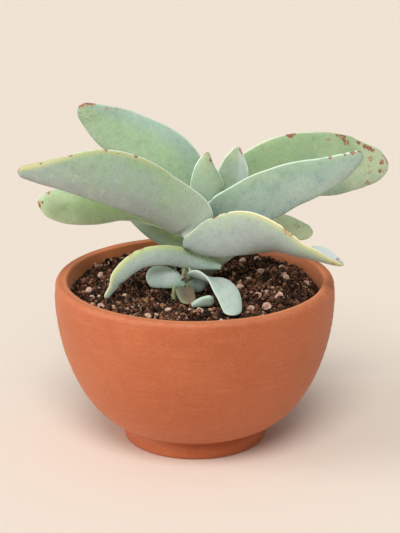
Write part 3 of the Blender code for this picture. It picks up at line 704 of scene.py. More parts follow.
def clay_finish(settings):
    """Unglazed clay: softly clouded, with the faintest turning lines, a fine dark and pale speckle,
    a paler lip top, an inner wall painted paler as painted light, and a darker band just above the soil."""
    sheen = dict(Sheen_Weight=0.12, Sheen_Roughness=0.5, Sheen_Tint=(1.0, 0.7, 0.48, 1.0))
    f = Finish("Turned terracotta", settings.clay, 0.5, Specular_IOR_Level=0.4, **sheen)
    lines = f.noise(20.0, 5.0, f.stretched(1.0, 1.0, 14.0))
    speckle = f.noise(1.1)
    grain = f.noise(0.5)
    f.coat(settings.deep_clay, 1.0, f.noise(30.0), 0.4, 0.62)
    f.coat(settings.pale_clay, 0.1, f.noise(8.0, 4.0), 0.45, 0.75)
    f.coat(settings.pale_clay, 0.2, lines, 0.52, 0.75)
    f.coat(settings.dark_clay, 0.16, lines, 0.46, 0.3)
    f.coat(settings.pale_clay, 0.24, speckle, 0.52, 0.72)
    f.coat(settings.dark_clay, 0.4, speckle, 0.46, 0.28)
    f.coat(settings.pale_clay, 0.14, grain, 0.5, 0.7)
    f.coat(settings.dark_clay, 0.2, grain, 0.46, 0.28)
    pits = f.product(f.step(f.cells(2.1), 0.1, 0.04), f.step(f.cells(2.1, "Color"), 0.55, 0.75))
    f.coat(settings.dark_clay, f.product(pits, 0.6))
    # Paler along the top of the lip.
    f.coat(settings.pale_clay, f.product(f.value("worn"), 0.35), f.noise(3.0), 0.2, 0.6)
    # Painted light: the inner wall is painted paler, standing for light that reaches inside the pot.
    f.coat(settings.inner_wall_painted_light, f.product(f.value("inside"), 0.7))
    # A darker band on the inner wall just above the soil.
    f.coat(settings.near_soil_clay, f.product(f.value("damp"), 0.3), f.noise(5.0), 0.25, 0.6)
    relief = f.total((grain, 0.05), (lines, 0.06), (speckle, 0.06), (pits, -0.03))
    return f.finish(relief, f.step(grain, -1.0, 1.6))


def soil_finish(settings):
    """Dark peat between the crumbs."""
    f = Finish("Peat bed", settings.peat, 0.95, Specular_IOR_Level=0.15)
    patch = f.noise(3.0, 4.0)
    fine = f.noise(0.6, 4.0)
    f.coat(settings.bark, 1.0, patch, 0.5, 0.75)
    f.coat(settings.fibre, 0.4, fine, 0.55, 0.8)
    return f.finish(f.total((patch, 0.6), (fine, 0.3)))


def crumb_finish(settings):
    """Loose crumbs, each with its own tint, from peat through humus and bark to pale fibre."""
    f = Finish("Peat crumbs", settings.peat, 0.9, Specular_IOR_Level=0.12)
    tint = f.value("tint")
    fine = f.noise(0.35, 4.0)
    f.coat(settings.humus, 1.0, tint, 0.2, 0.6)
    f.coat(settings.bark, 1.0, tint, 0.55, 0.9)
    pale = f.blend(f.step(f.noise(5.0), 0.5, 0.6), settings.fibre, settings.straw)
    f.coat(pale, 1.0, tint, 0.9, 1.15)
    f.coat(pale, 0.4, fine, 0.5, 0.75)
    f.coat(settings.peat, 0.6, fine, 0.46, 0.3)
    return f.finish(f.product(fine, 0.25))


def stone_finish(settings):
    """Tan and pinkish grit, pale on its rounds, with painted shade in its hollows."""
    f = Finish("Tan grit", settings.tan_stone, 0.75, Specular_IOR_Level=0.3)
    patch = f.noise(1.6, 4.0)
    fine = f.noise(0.3)
    f.coat(settings.pink_stone, f.value("tint"))
    f.coat(settings.pale_stone, 0.75, patch, 0.35, 0.65)
    f.coat(settings.bark, 0.45, fine, 0.5, 0.3)
    # Painted shade: the hollows are painted dark.
    f.coat(settings.bark, f.product(f.value("hollow"), 0.8))
    return f.finish(f.total((patch, 0.35), (fine, 0.12)))


def pumice_finish(settings):
    """Small pale bits of pumice."""
    f = Finish("Pale pumice", settings.pumice, 0.85, Specular_IOR_Level=0.2)
    fine = f.noise(0.4)
    f.coat(settings.pale_stone, 1.0, fine, 0.35, 0.7)
    return f.finish(f.product(fine, 0.2))


def stem_finish(settings):
    """Dull green stem, brown at the old leaf scars and streaked along its length."""
    f = Finish("Scarred stem", settings.stem_green, 0.7, Specular_IOR_Level=0.3)
    streak = f.noise(3.0, 4.0, f.stretched(3.0, 3.0, 0.6))
    fine = f.noise(0.5)
    f.coat(settings.olive, 1.0, streak, 0.4, 0.65)
    f.coat(settings.pale_green, 0.35, fine, 0.45, 0.7)
    f.coat(settings.scar, f.product(f.value("scar"), 0.85))
    return f.finish(f.total((streak, 0.3), (fine, 0.1)))


def leaf_finish(name, look, settings):
    """A fleshy leaf under a waxy bloom.

    The body's colour drifts in patches, is painted darker towards the base as painted shade, and
    turns to other colours towards the lower and upper margins and the tip. Over it lie mottles, a
    powdery grain, pores and a paler film that is painted light on the folded leaf, then a band inside
    the upper margin, the pale margin lines, partly painted highlight, and freckles: brown specks where
    the leaf's marks are weak, and rust with an orange ring where they are strong.
    """
    paint = {key: getattr(settings, key) for key in settings.__annotations__}
    flesh = dict(Subsurface_Weight=0.06, Subsurface_Radius=(0.9, 1.0, 0.5), Subsurface_Scale=0.0015)
    wax = dict(Specular_IOR_Level=0.4, Sheen_Weight=0.1, Sheen_Roughness=0.5)
    f = Finish(name, paint[look["body"]], 0.5, **flesh, **wax)
    across, along, edge, marks = (f.value(key) for key in ("across", "along", "edge", "marks"))
    patch, mottle, dapple, grain = f.noise(13.0), f.noise(4.2, 4.0), f.noise(1.7), f.noise(0.55, 2.0)
    wander = f.product(f.sum(patch, -0.5), 1.1)
    place = f.sum(across, wander)
    up = f.sum(along, wander)
    f.coat(paint[look["second"]], 0.7, patch, 0.38, 0.62)
    zones = [("low", place, 0.1, -0.9), ("high", place, 0.1, 0.9), ("tip", up, 0.6, 1.0)]
    for part, source, start, end in zones:
        key, share = look[part]
        f.coat(paint[key], share, source, start, end)
    f.coat(paint["pale_green"], 0.8 * look["bloom"], mottle, 0.5, 0.72)
    f.coat(paint["deep_green"], 0.26, mottle, 0.48, 0.3)
    f.coat(paint["deep_green"], 0.18, dapple, 0.46, 0.3)
    # Painted shade at the base; painted light where the shade paint is pale.
    f.coat(paint[look["shade_paint"]], look["shade"], along, look["shade_to"], 0.0)
    f.coat(paint["bloom"], look["bloom"], grain, 0.5, 0.75)
    f.coat(paint["deep_green"], 0.35, grain, 0.48, 0.28)
    pores = f.product(f.step(f.cells(1.5), 0.16, 0.06), f.step(f.cells(1.5, "Color"), 0.5, 0.7))
    f.coat(paint["olive"], f.product(pores, look["pores"]))
    # A paler film, which on the folded leaf stands for sky light: painted light.
    frost_and_light_share = f.product(f.step(across, *look["frost_across"]), look["frost"])
    f.coat(paint["frost"], frost_and_light_share, along, *look["frost_along"])
    band, band_share = look["edge"]
    near = f.product(f.step(across, 0.0, 0.5), band_share)
    near = f.product(near, f.step(f.total((along, 1.0), (mottle, 0.3)), 0.3, 0.7))
    depth = f.total((edge, 1.0), (f.step(along, 0.75, 1.0), -look["tip_band"]), (mottle, 2.0))
    f.coat(paint[band], near, depth, 4.6, 0.8)
    # Pale margin lines: partly the margins' own colour and partly painted highlight.
    rim = f.product(f.step(across, look["rim_from"], 0.4), f.step(f.sum(along, mottle), *look["rim_fade"]))
    low_rim = f.product(f.step(across, -0.5, -0.8), f.step(along, 0.98, 0.6))
    rims = f.total((rim, look["rim"]), (low_rim, look["low_rim"]))
    f.coat(paint[look["rim_paint"]], f.product(f.step(dapple, 0.15, 0.5), rims), edge, 0.7, 0.25)
    f.coat(paint["rust_ring"], 0.35, marks, 0.4, 1.0)
    speck = f.sum(f.total((marks, 0.8), (f.cells(1.1), -1.0), (grain, 0.5)), -0.25)
    strong = f.step(marks, 0.45, 0.75)
    f.coat(paint["rust_ring"], f.product(strong, 0.55), speck, -0.35, 0.1)
    core = f.step(speck, 0.0, 0.3)
    f.coat(f.blend(strong, paint["scar"], paint["rust"]), f.product(core, 0.85))
    relief = f.total((grain, 0.05), (mottle, 0.2), (dapple, 0.08), (core, -0.15))
    return f.finish(relief, f.step(grain, -1.2, 2.2))


def floor_finish(colour):
    """Smooth pale paper with the faintest cloud in it."""
    f = Finish("Pale backdrop paper", colour, 0.9, Specular_IOR_Level=0.1)
    f.coat(tuple(0.985 * part for part in colour), f.noise(400.0, 2.0))
    return f.finish(f.product(f.noise(2.0, 2.0), 0.01))


# Shapes


def pot_profile(radius, height):
    """The pot's closed section as (radius, height) points, up the outside and down the inside.

    Straight runs are filled in, so that no two points lie much further apart than SECTION_STEP.
    """
    neck = FOOT_RADIUS - GROOVE_DEPTH
    foot = [
        (FOOT_INNER_RADIUS, 0.0),
        (FOOT_RADIUS - FOOT_CHAMFER, 0.0),
        (FOOT_RADIUS - FOOT_CHAMFER / 2, FOOT_CHAMFER / 4),
        (FOOT_RADIUS - FOOT_CHAMFER / 6, FOOT_CHAMFER),
        (FOOT_RADIUS, FOOT_HEIGHT / 3),
        (FOOT_RADIUS, FOOT_HEIGHT - 3 * GROOVE_DEPTH),
        (FOOT_RADIUS - GROOVE_DEPTH / 2, FOOT_HEIGHT - 2 * GROOVE_DEPTH),
        (neck, FOOT_HEIGHT - GROOVE_DEPTH),
    ]
    high_handle = (radius, BOWL_HIGH_HANDLE_HEIGHT)
    bowl = bezier((neck, FOOT_HEIGHT), BOWL_LOW_HANDLE, high_handle, (radius, WIDEST_HEIGHT), 70)
    lip_centre = (radius - LIP_INSET - LIP_ROUND, height - LIP_ROUND)
    inner_centre = (LIP_INNER_RADIUS + LIP_INNER_ROUND, height - LIP_INNER_ROUND)
    lip = [*arc(lip_centre, LIP_ROUND, 0, 90, 9), *arc(inner_centre, LIP_INNER_ROUND, 90, 180, 6)]
    floor = [(DRAIN_RADIUS, WALL[-1][1]), (DRAIN_RADIUS, RECESS)]
    under = [(FOOT_INNER_RADIUS - FOOT_CHAMFER, RECESS), (FOOT_INNER_RADIUS, 0.0)]
    corners = np.array([tuple(p) for p in (*foot, *bowl, *lip, *bezier(*WALL, 40), *floor, *under)])
    run = run_along(corners)
    spans = [(a, b, max(int((b - a) / SECTION_STEP), 1)) for a, b in zip(run, run[1:])]
    every = np.concatenate([np.linspace(a, b, count, False) for a, b, count in spans])
    return np.stack([np.interp(every, run, values) for values in corners.T], axis=1)


def turned_pot(radius, height, sides):
    """The section turned round the Z axis, with the small unevenness of clay thrown on a wheel.

    Each point moves in or out by a finger ridge that climbs the wall as a shallow spiral, by a slow
    wobble round the pot and by a fine noise. The foot's underside stays flat and level.
    """
    profile = pot_profile(radius, height)
    turn = turns(sides)
    out, up = profile[:, :1], profile[:, 1:]
    flat = round_axis(out, up, turn)
    clear = smooth_step(up, *EVEN_FOOT) * smooth_step(out, DRAIN_RADIUS + 1, DRAIN_RADIUS + 6)
    uneven = RIDGE * np.sin(up * RIDGE_RATE + turn + RIDGE_SWAY * np.sin(up * RIDGE_SWAY_RATE))
    uneven = uneven + WOBBLES[0] * np.cos(2 * turn + 0.6) + WOBBLES[1] * np.cos(3 * turn + up * 0.03)
    for size, rise, seed in CLAY_LUMPS:
        uneven = uneven + rise * lumps(flat, size, seed)
    size, rise, seed = LIP_LUMPS
    top = smooth_step(up, height - 4, height) * rise * lumps(flat, size, seed)
    return profile, round_axis(out + clear * uneven, up + top, turn)


def soil_height(x, y):
    """Heights of the bed: a low dome with three sizes of clumps, kept under where a leaf lies on it."""
    out = np.minimum(np.hypot(x, y) / SOIL_DOME_RADIUS, 1)
    height = SOIL_LEVEL + SOIL_SLOPE * y + SOIL_DOME * np.cos(out * math.pi / 2)
    flat = np.stack([x, y, np.zeros_like(x)], axis=-1)
    for size, rise, seed in SOIL_LUMPS:
        height = height + rise * lumps(flat, size, seed)
    for spot_x, spot_y, radius, ceiling in REST_SPOTS:
        outside = np.maximum(np.hypot(x - spot_x, y - spot_y) - radius, 0)
        height = np.minimum(height, ceiling + outside)
    return height - BED_DROP - WALL_DIP * smooth_step(out, 0.8, 1.0)


def soil_surface(rings, sides):
    """Rings of points from the crown out to the wall, down it and in again, and the two end points."""
    walls = bezier(*WALL, 30) + (-SOIL_GAP, SOIL_GAP)
    reach = walls[0, 0] * np.linspace(0, 1, rings + 1)[1:, None] ** RING_CROWDING
    top = round_axis(reach, 0.0, turns(sides))
    top[..., 2] = soil_height(top[..., 0], top[..., 1])
    side = round_axis(walls[:, :1], walls[:, 1:], turns(sides))
    crown = soil_height(np.zeros(1), np.zeros(1))[0]
    return np.concatenate([top, side]), [(0.0, 0.0, crown), (0.0, 0.0, walls[-1, 1])]


def small_solid(points):
    """Points set at distance 1 from the middle, and the triangles between neighbours among them."""
    points = unit(np.array(points, float))
    apart = np.linalg.norm(points[:, None] - points, axis=2)
    near = apart < 1.01 * apart[apart > 0].min()
    faces = []
    for a, b, c in combinations(range(len(points)), 3):
        if near[a, b] and near[b, c] and near[a, c]:
            facing = np.dot(points[a], np.cross(points[b], points[c])) > 0
            faces.append((a, b, c) if facing else (a, c, b))
    return points, [np.array(faces)]


def icosahedron():
    gold = (1 + math.sqrt(5)) / 2
    signs = [(a, b * gold) for a in (-1, 1) for b in (-1, 1)]
    points = [(0, a, b) for a, b in signs] + [(a, b, 0) for a, b in signs] + [(b, 0, a) for a, b in signs]
    return small_solid(points)


def octahedron():
    return small_solid([*np.eye(3), *-np.eye(3)])


def globe(rows, columns):
    """Points of a sphere of radius 1 row by row without its poles, then the poles, and its faces."""
    polar = np.linspace(0, math.pi, rows + 2)[1:-1, None]
    ring = round_axis(np.sin(polar), np.cos(polar), turns(columns))
    return np.concatenate([ring.reshape(-1, 3), [[0, 0, 1], [0, 0, -1]]]), tube_faces(rows, columns)


def tumbled(rng, shapes, low, high, size):
    """Grains, each stretched at random along its axes, brought to its size, and turned at random by
    the matrix of a unit quaternion drawn evenly."""
    shapes = shapes * rng.uniform(low, high, (len(shapes), 1, 3)) * size[:, None, None]
    w, x, y, z = unit(rng.normal(size=(len(shapes), 4))).T
    rows = [
        [1 - 2 * (y * y + z * z), 2 * (x * y - w * z), 2 * (x * z + w * y)],
        [2 * (x * y + w * z), 1 - 2 * (x * x + z * z), 2 * (y * z - w * x)],
        [2 * (x * z - w * y), 2 * (y * z + w * x), 1 - 2 * (x * x + y * y)],
    ]
    return np.einsum("ijn,nkj->nki", np.array(rows), shapes)


def scattered(rng, count, reach):
    """Places spread evenly over the soil, out to reach."""
    out = reach * np.sqrt(rng.uniform(0, 1, count))
    turn = rng.uniform(0, 2 * math.pi, count)
    return out * np.cos(turn), out * np.sin(turn)


def set_grains(shapes, faces, x, y, height):
    """The points of all grains, each carried to its own place, and the faces of them all."""
    points = shapes + np.stack([x, y, height], axis=-1)[:, None]
    step = shapes.shape[1] * np.arange(len(shapes))[:, None, None]
    return points.reshape(-1, 3), [(part + step).reshape(-1, part.shape[1]) for part in faces]


def grain_noise(base, count, layers):
    """How far lumps of some sizes move each point of count grains, which lie apart in the noise."""
    swell = 1.0
    for size, rise, seed in layers:
        swell = swell + rise * lumps(base + GRAIN_GAP * np.arange(count)[:, None, None], size, seed)
    return swell


def clod_places(reach):
    """Places and radii of the clods: one in each square of a grid, clear of stones and rest spots."""
    most = int(reach / CLOD_SPACING) + 1
    square = np.stack([i.ravel() for i in np.mgrid[-most:most, -most:most, :1]], axis=-1)
    off_x, off_y, share = (scatter(square, CLOD_SEED + i) for i in range(3))
    x = (square[:, 0] + 0.25 + 0.5 * off_x) * CLOD_SPACING
    y = (square[:, 1] + 0.25 + 0.5 * off_y) * CLOD_SPACING
    size = CLOD_RADII[0] + (CLOD_RADII[1] - CLOD_RADII[0]) * share
    on_bed = np.hypot(x, y) + size < reach
    for spots, clearance in ((REST_SPOTS, 1.0), (STONES, 0.5)):
        for spot_x, spot_y, radius, _ in spots:
            on_bed &= np.hypot(x - spot_x, y - spot_y) > radius + clearance * size
    return x[on_bed], y[on_bed], size[on_bed]


def clods(rng, places):
    """Rough clods half sunk in the bed at the given places.

    Each is a coarse sphere whose points move in and out with two sizes of lumps and at random,
    stretched and turned. Gives the points and faces of them all.
    """
    base, faces = globe(4, 8)
    x, y, size = places
    swell = grain_noise(base, len(x), CLOD_LUMPS)
    shapes = base * (swell * rng.uniform(0.88, 1.1, swell.shape))[..., None]
    shapes = tumbled(rng, shapes, 0.7, 1.15, size)
    return set_grains(shapes, faces, x, y, soil_height(x, y) + BED_DROP)


def over_clods(x, y, places):
    """How far the clods stand over the bed: at each place the highest of their half spheres."""
    clod_x, clod_y, size = (values[None].astype(np.float32) for values in places)
    short = size**2 - (x[:, None] - clod_x) ** 2 - (y[:, None] - clod_y) ** 2
    rise = np.sqrt(np.clip(short, 0, None)).max(axis=1)
    return rise + BED_DROP * (rise > 0)


def crumbs(rng, solid, count, reach, sizes, stretch, lift, places):
    """Rough grains on the bed and on its clods: the same small solid for each, with its points moved
    in and out at random, stretched along each axis, turned, and set at the height of what lies
    under it. Most are near the least size and few near the greatest, as the random share is cubed.
    Gives the points and faces of them all, and each one's place."""
    base, faces = solid
    x, y = scattered(rng, count, reach)
    size = sizes[0] + (sizes[1] - sizes[0]) * rng.uniform(0, 1, count) ** 3
    shapes = base * rng.uniform(0.6, 1.2, (count, len(base), 1))
    shapes = tumbled(rng, shapes, *np.array(stretch, float).T, size)
    height = soil_height(x, y) + over_clods(x, y, places) + lift * size
    return *set_grains(shapes, faces, x, y, height), np.stack([x, y, height], axis=-1)


def stone_shapes(rng, stones):
    """Round stones with soft lumps, each with its face hollowed towards the sky and the viewer.

    A stone's radius falls by its hollow share towards the middle of that face and swells a little
    round it. Gives the points, the faces, and how hollow each point is.
    """
    base, faces = globe(11, 16)
    count = len(stones)
    x, y, size, hollow = np.array(stones, float).T
    facing = unit(np.stack([rng.normal(0, 0.3, count), rng.normal(-1.3, 0.3, count), np.ones(count)], -1))
    angle = np.arccos(np.clip(facing @ base.T, -1, 1))
    bowl = np.exp(-((angle / HOLLOW_ANGLE) ** 4))
    brim = np.exp(-(((angle - HOLLOW_ANGLE - BRIM_OFFSET) / BRIM_ANGLE) ** 2))
    dent = HOLLOW * bowl - BRIM * brim
    lumpy = grain_noise(base, count, STONE_LUMPS)
    radius = size[:, None] * (lumpy - hollow[:, None] * dent)
    shape = radius[..., None] * base * rng.uniform(0.78, 1.08, (count, 1, 3))
    points, faces = set_grains(shape, faces, x, y, soil_height(x, y) + BED_DROP)
    return points, faces, (bowl * hollow[:, None]).ravel()


def stem_surface(stem, rows, sides):
    """A bent round rod with a raised scar at each old leaf base, its end points, and the scars.

    A ring's radius swells by a narrow bell curve at each scar's height and by a little noise.
    """
    stations = np.array(stem["stations"], float)
    shares = np.linspace(0, 1, rows)
    middle, radius = np.split(smooth_curve(stations, shares), [3], axis=1)
    along = heading(stations[:, :3], shares)
    first = unit(np.cross(along, (0.0, 1.0, 0.0)))[:, None]
    second = np.cross(along[:, None], first)
    turn = turns(sides)
    spokes = np.cos(turn)[..., None] * first + np.sin(turn)[..., None] * second
    plain = middle[:, None] + radius[:, None] * spokes
    height = plain[..., 2] + SCAR_WAVE * np.sin(2 * turn + 0.9 * middle[:, 2:])
    scar = sum(np.exp(-(((height - z) / SCAR_SPREAD) ** 2)) for z in stem["scars"])
    swell = SCAR_RISE * scar
    for size, rise, seed in STEM_LUMPS:
        swell = swell + rise * lumps(plain, size, seed)
    swell = swell * np.minimum(radius / 5, 1) * smooth_step(shares, 0, 0.05)[:, None]
    ends = [middle[0], middle[-1] + 0.3 * along[-1]]
    return plain + swell[..., None] * spokes, ends, np.clip(scar, 0, 1)


def blade_places(line, nose, rows, nose_rows):
    """Places on the midline, even along the body and closing up over the rounded nose.

    Gives for each ring its share of the midline, its distance from the base in mm, and how much the
    nose draws it in, which is the cosine of an angle that goes from 0 to a right angle over it; and
    the midline's length.
    """
    fine = np.linspace(0, 1, 600)
    run = run_along(smooth_curve(line, fine))
    angle = np.linspace(0, math.pi / 2, nose_rows + 1)[1:-1]
    body = np.linspace(0, run[-1] - nose, rows)
    places = np.concatenate([body, run[-1] - nose * (1 - np.sin(angle))])
    drawn_in = np.concatenate([np.ones(rows), np.cos(angle)])
    return np.interp(places, run, fine), places[:, None], drawn_in[:, None], run[-1]


def blade_surface(leaf, seed, rows, sides):
    """A fleshy blade: rings of points from base to tip, its end points, and its values.

    The section is a superellipse, across = sgn(cos)|cos|^(2/ROUNDNESS) and deep = sin, bent to an arc
    that turns by curl degrees from margin to margin, leaning by roll degrees from upright. The
    skin rises and falls by two sizes of lumps, the margin waves by a third, and nicks in it lie
    where a mark touches it. Values for the finish are the share along, the place across from -1
    to 1, the distance to the margin in mm, and the strength of the freckles.
    """
    stations = np.array(leaf["stations"], float)
    shares, places, drawn_in, length = blade_places(stations[:, :3], leaf["nose"], rows, NOSE_ROWS)
    middle, width, roll, curl = np.split(smooth_curve(stations, shares), [3, 4, 5], axis=1)
    along = heading(stations[:, :3], shares)
    base_thick, tip_thick = leaf["thick"]
    half = width / 2 * drawn_in
    thick = (base_thick + (tip_thick - base_thick) * shares[:, None]) / 2 * drawn_in
    roll, curl = np.radians(roll), np.radians(curl)
    curl = np.where(np.abs(curl) < LEAST_CURL, LEAST_CURL, curl)
    side = unit(np.cross(along, leaf["level"]))
    across = np.cos(roll) * np.cross(side, along) + np.sin(roll) * side
    normal = np.cross(along, across)
    angle = turns(sides)
    deep = np.sin(angle)
    to_margin = np.sign(np.cos(angle)) * np.abs(np.cos(angle)) ** (2 / ROUNDNESS)
    flat = np.stack(np.broadcast_arrays(places, half * to_margin, SIDES_APART * np.sign(deep)), axis=-1)
    marks = np.zeros(flat.shape[:2])
    for mark_along, mark_across, radius, strength in leaf["marks"]:
        away = np.hypot(places - mark_along * length, half * (to_margin - mark_across))
        marks = np.maximum(marks, strength * smooth_step(away, 1.5 * radius, 0.5 * radius))
    margin = np.abs(to_margin) ** 6
    margins = flat * (1, 0, 0) + np.sign(to_margin)[..., None] * WAVE_SIZE
    wave = WAVE_RISE * lumps(margins, WAVE_SIZE, seed)
    reach_out = to_margin * (1 + margin * (wave - NICK_DEPTH * marks) * drawn_in / np.maximum(half, 1))
    skin = [rise * lumps(flat, size, seed + 1 + n) for n, (size, rise) in enumerate(SKIN_LUMPS)]
    relief = sum(skin) * drawn_in
    radius = 2 * half / curl
    bend = radius - deep * (thick + relief * (1 - margin))
    swing = reach_out * curl / 2
    x = (bend * np.sin(swing))[..., None]
    y = (radius - bend * np.cos(swing))[..., None]
    points = middle[:, None] + x * across[:, None] + y * normal[:, None]
    edge = np.minimum(half * (1 - np.abs(to_margin)), 2 * (length - places))
    values = np.broadcast_arrays(places / length, to_margin, edge, marks)
    ends = smooth_curve(stations[:, :3], np.array([0.0, 1.0]))
    return points, ends, dict(zip(("along", "across", "edge", "marks"), values))


# Settings


def colour(about, red, green, blue):
    """A colour setting whose default is given as 0 to 255 values of a paint chart."""
    linear = [((part / 255 + 0.055) / 1.055) ** 2.4 for part in (red, green, blue)]
    return FloatVectorProperty(description=about, subtype="COLOR", min=0, max=1, default=linear)


def metres(about, default):
    return FloatProperty(description=about, unit="LENGTH", default=default)


def amount(about, default):
    return FloatProperty(description=about, min=0, default=default)


def whole(about, default, most):
    return IntProperty(description=about, min=1, max=most, default=default)


class PotSettings(bpy.types.PropertyGroup):
    radius: metres("Outer radius at the widest height", (POT_HIGH.x - POT_LOW.x) / 2)
    height: metres("Height of the lip over the ground", POT_HIGH.z - POT_LOW.z)
    sides: whole("Steps round the pot", 288, 400)
    clay: colour("Main colour of the fired clay", 188, 100, 58)
    deep_clay: colour("Redder clouds", 183, 94, 53)
    # Also used for the paler top of the lip.
    pale_clay: colour("Dusty bloom, worn edges and turning lines", 216, 138, 96)
    dark_clay: colour("Dark side of the speckle and the pits", 160, 78, 42)
    # Painted light: the inner wall's paler colour.
    inner_wall_painted_light: colour("Cleaner clay of the inner wall", 230, 140, 88)
    # Darker band on the inner wall just above the soil.
    near_soil_clay: colour("Wall that the wet soil has darkened", 140, 80, 54)


class SoilSettings(bpy.types.PropertyGroup):
    crumbs: whole("Number of crumbs", 9000, 9500)
    dust: whole("Number of the finest crumbs", 20000, 24000)
    fibres: whole("Number of root threads", 500, 4000)
    chips: whole("Number of bark chips", 900, 4000)
    small_stones: whole("Number of small stones besides the large ones", 60, 400)
    pumice_bits: whole("Number of small pale bits", 110, 400)
    peat: colour("Darkest crumbs", 16, 10, 8)
    humus: colour("Dark brown crumbs", 92, 59, 44)
    bark: colour("Reddish brown crumbs", 148, 98, 72)
    fibre: colour("Pale fibres among the crumbs", 206, 168, 142)
    straw: colour("Yellower fibres in some patches", 178, 158, 100)
    tan_stone: colour("Grit", 208, 164, 134)
    pink_stone: colour("Pinker grit", 198, 144, 122)
    pale_stone: colour("Pale faces of the grit", 236, 210, 188)
    pumice: colour("Small pale bits", 232, 214, 198)


class PlantSettings(bpy.types.PropertyGroup):
    grey_green: colour("Bloomed face of the front leaves", 164, 185, 166)
    fresh_green: colour("Leaf where the bloom is thin", 158, 187, 144)
    spring_green: colour("The lightest, yellowest leaf", 170, 198, 142)
    silver: colour("Thick grey bloom on the folded leaf", 172, 182, 176)
    bright_green: colour("Lit middle of the greenest leaves", 157, 186, 112)
    pale_green: colour("Pale tips and mottles", 194, 205, 172)
    blue_green: colour("Shaded, bluish parts", 144, 171, 162)
    deep_green: colour("Shaded bases and the dark side of the mottle", 102, 128, 104)
    mauve: colour("Pinkish bloom towards the lower margin", 160, 163, 158)
    # On the lower left back leaf this dark colour is partly painted shade.
    olive: colour("Dark inner leaves and pores", 104, 119, 68)
    mint: colour("Leaves of the offshoot", 177, 195, 183)
    # Painted light on the shaded leaf at the back; also the pale tip of the middle left leaf.
    pale_mint_and_painted_light: colour("Pale leaf at the back", 226, 245, 202)
    dry: colour("The offshoot's dried leaf", 98, 82, 70)
    yellow: colour("Band inside the upper margins", 216, 208, 132)
    # rim and cool_rim: pale margin lines, partly the margins' own colour and partly painted highlight.
    rim: colour("Pale line on the lightest margins", 244, 244, 212)
    cool_rim: colour("Pale line on the greyer margins", 226, 240, 220)
    # Besides the powdery grain, it is painted light at the base of the upper left front leaf.
    bloom: colour("Waxy powder", 200, 208, 200)
    # Painted light: on the folded leaf's far side this paler film stands for sky light.
    frost: colour("Palest bloom, on the folded leaf's far side", 226, 232, 232)
    rust: colour("Middle of a freckle", 136, 74, 54)
    rust_ring: colour("Edge of a freckle", 192, 146, 104)
    stem_green: colour("Stem between the scars", 150, 160, 110)
    scar: colour("Old leaf bases on the stem", 134, 108, 78)


class StageSettings(bpy.types.PropertyGroup):
    floor: colour("Plain pale paper", 238, 225, 210)
    floor_radius: metres("Size of the paper", 8.0)
    side: amount("Low light from the left", 1.7)
    front: amount("High light in front", 1.85)
    sky: amount("Broad light from above", 0.5)
    fill: amount("Light from all round", 0.23)
    lens: amount("Focal length in mm on a 36 mm sensor", 134.95)
    distance: metres("Camera to subject", 1.0)
    pitch: FloatProperty(
        description="How far the camera looks down", subtype="ANGLE", default=math.radians(18.5)
    )


# Operators


class PLANT_OT_pot(bpy.types.Operator):
    """Turn the terracotta pot"""

    bl_idname = "plant.pot"
    bl_label = "Pot"

    def execute(self, context):
        settings = context.scene.plant_pot
        height, sides = settings.height / MM, settings.sides
        profile, points = turned_pot(settings.radius / MM, height, sides)
        out, up = profile.T
        inner = (np.arange(len(up)) > np.argmax(up)) & (up > WALL[-1][1] - 1)
        rows = dict(
            inside=inner,
            worn=smooth_step(up, height - 3.2, height - 0.6) * (out > LIP_INNER_RADIUS),
            damp=inner * smooth_step(up, SOIL_LEVEL + 3.4, SOIL_LEVEL + 0.4),
        )
        values = {key: np.repeat(row, sides) for key, row in rows.items()}
        faces = [loop_faces(len(up), sides)]
        finish = clay_finish(settings)
        add_piece("pot_turned", points.reshape(-1, 3), faces, finish, "terracotta", ["pot"], **values)
        return {"FINISHED"}


class PLANT_OT_soil(bpy.types.Operator):
    """Fill the pot with the bed of the potting mix"""

    bl_idname = "plant.soil"
    bl_label = "Soil bed"

    def execute(self, context):
        rings, ends = soil_surface(SOIL_RINGS, SOIL_SIDES)
        add_tube("soil_bed", rings, ends, soil_finish(context.scene.plant_soil), "potting_mix", ["soil"])
        return {"FINISHED"}


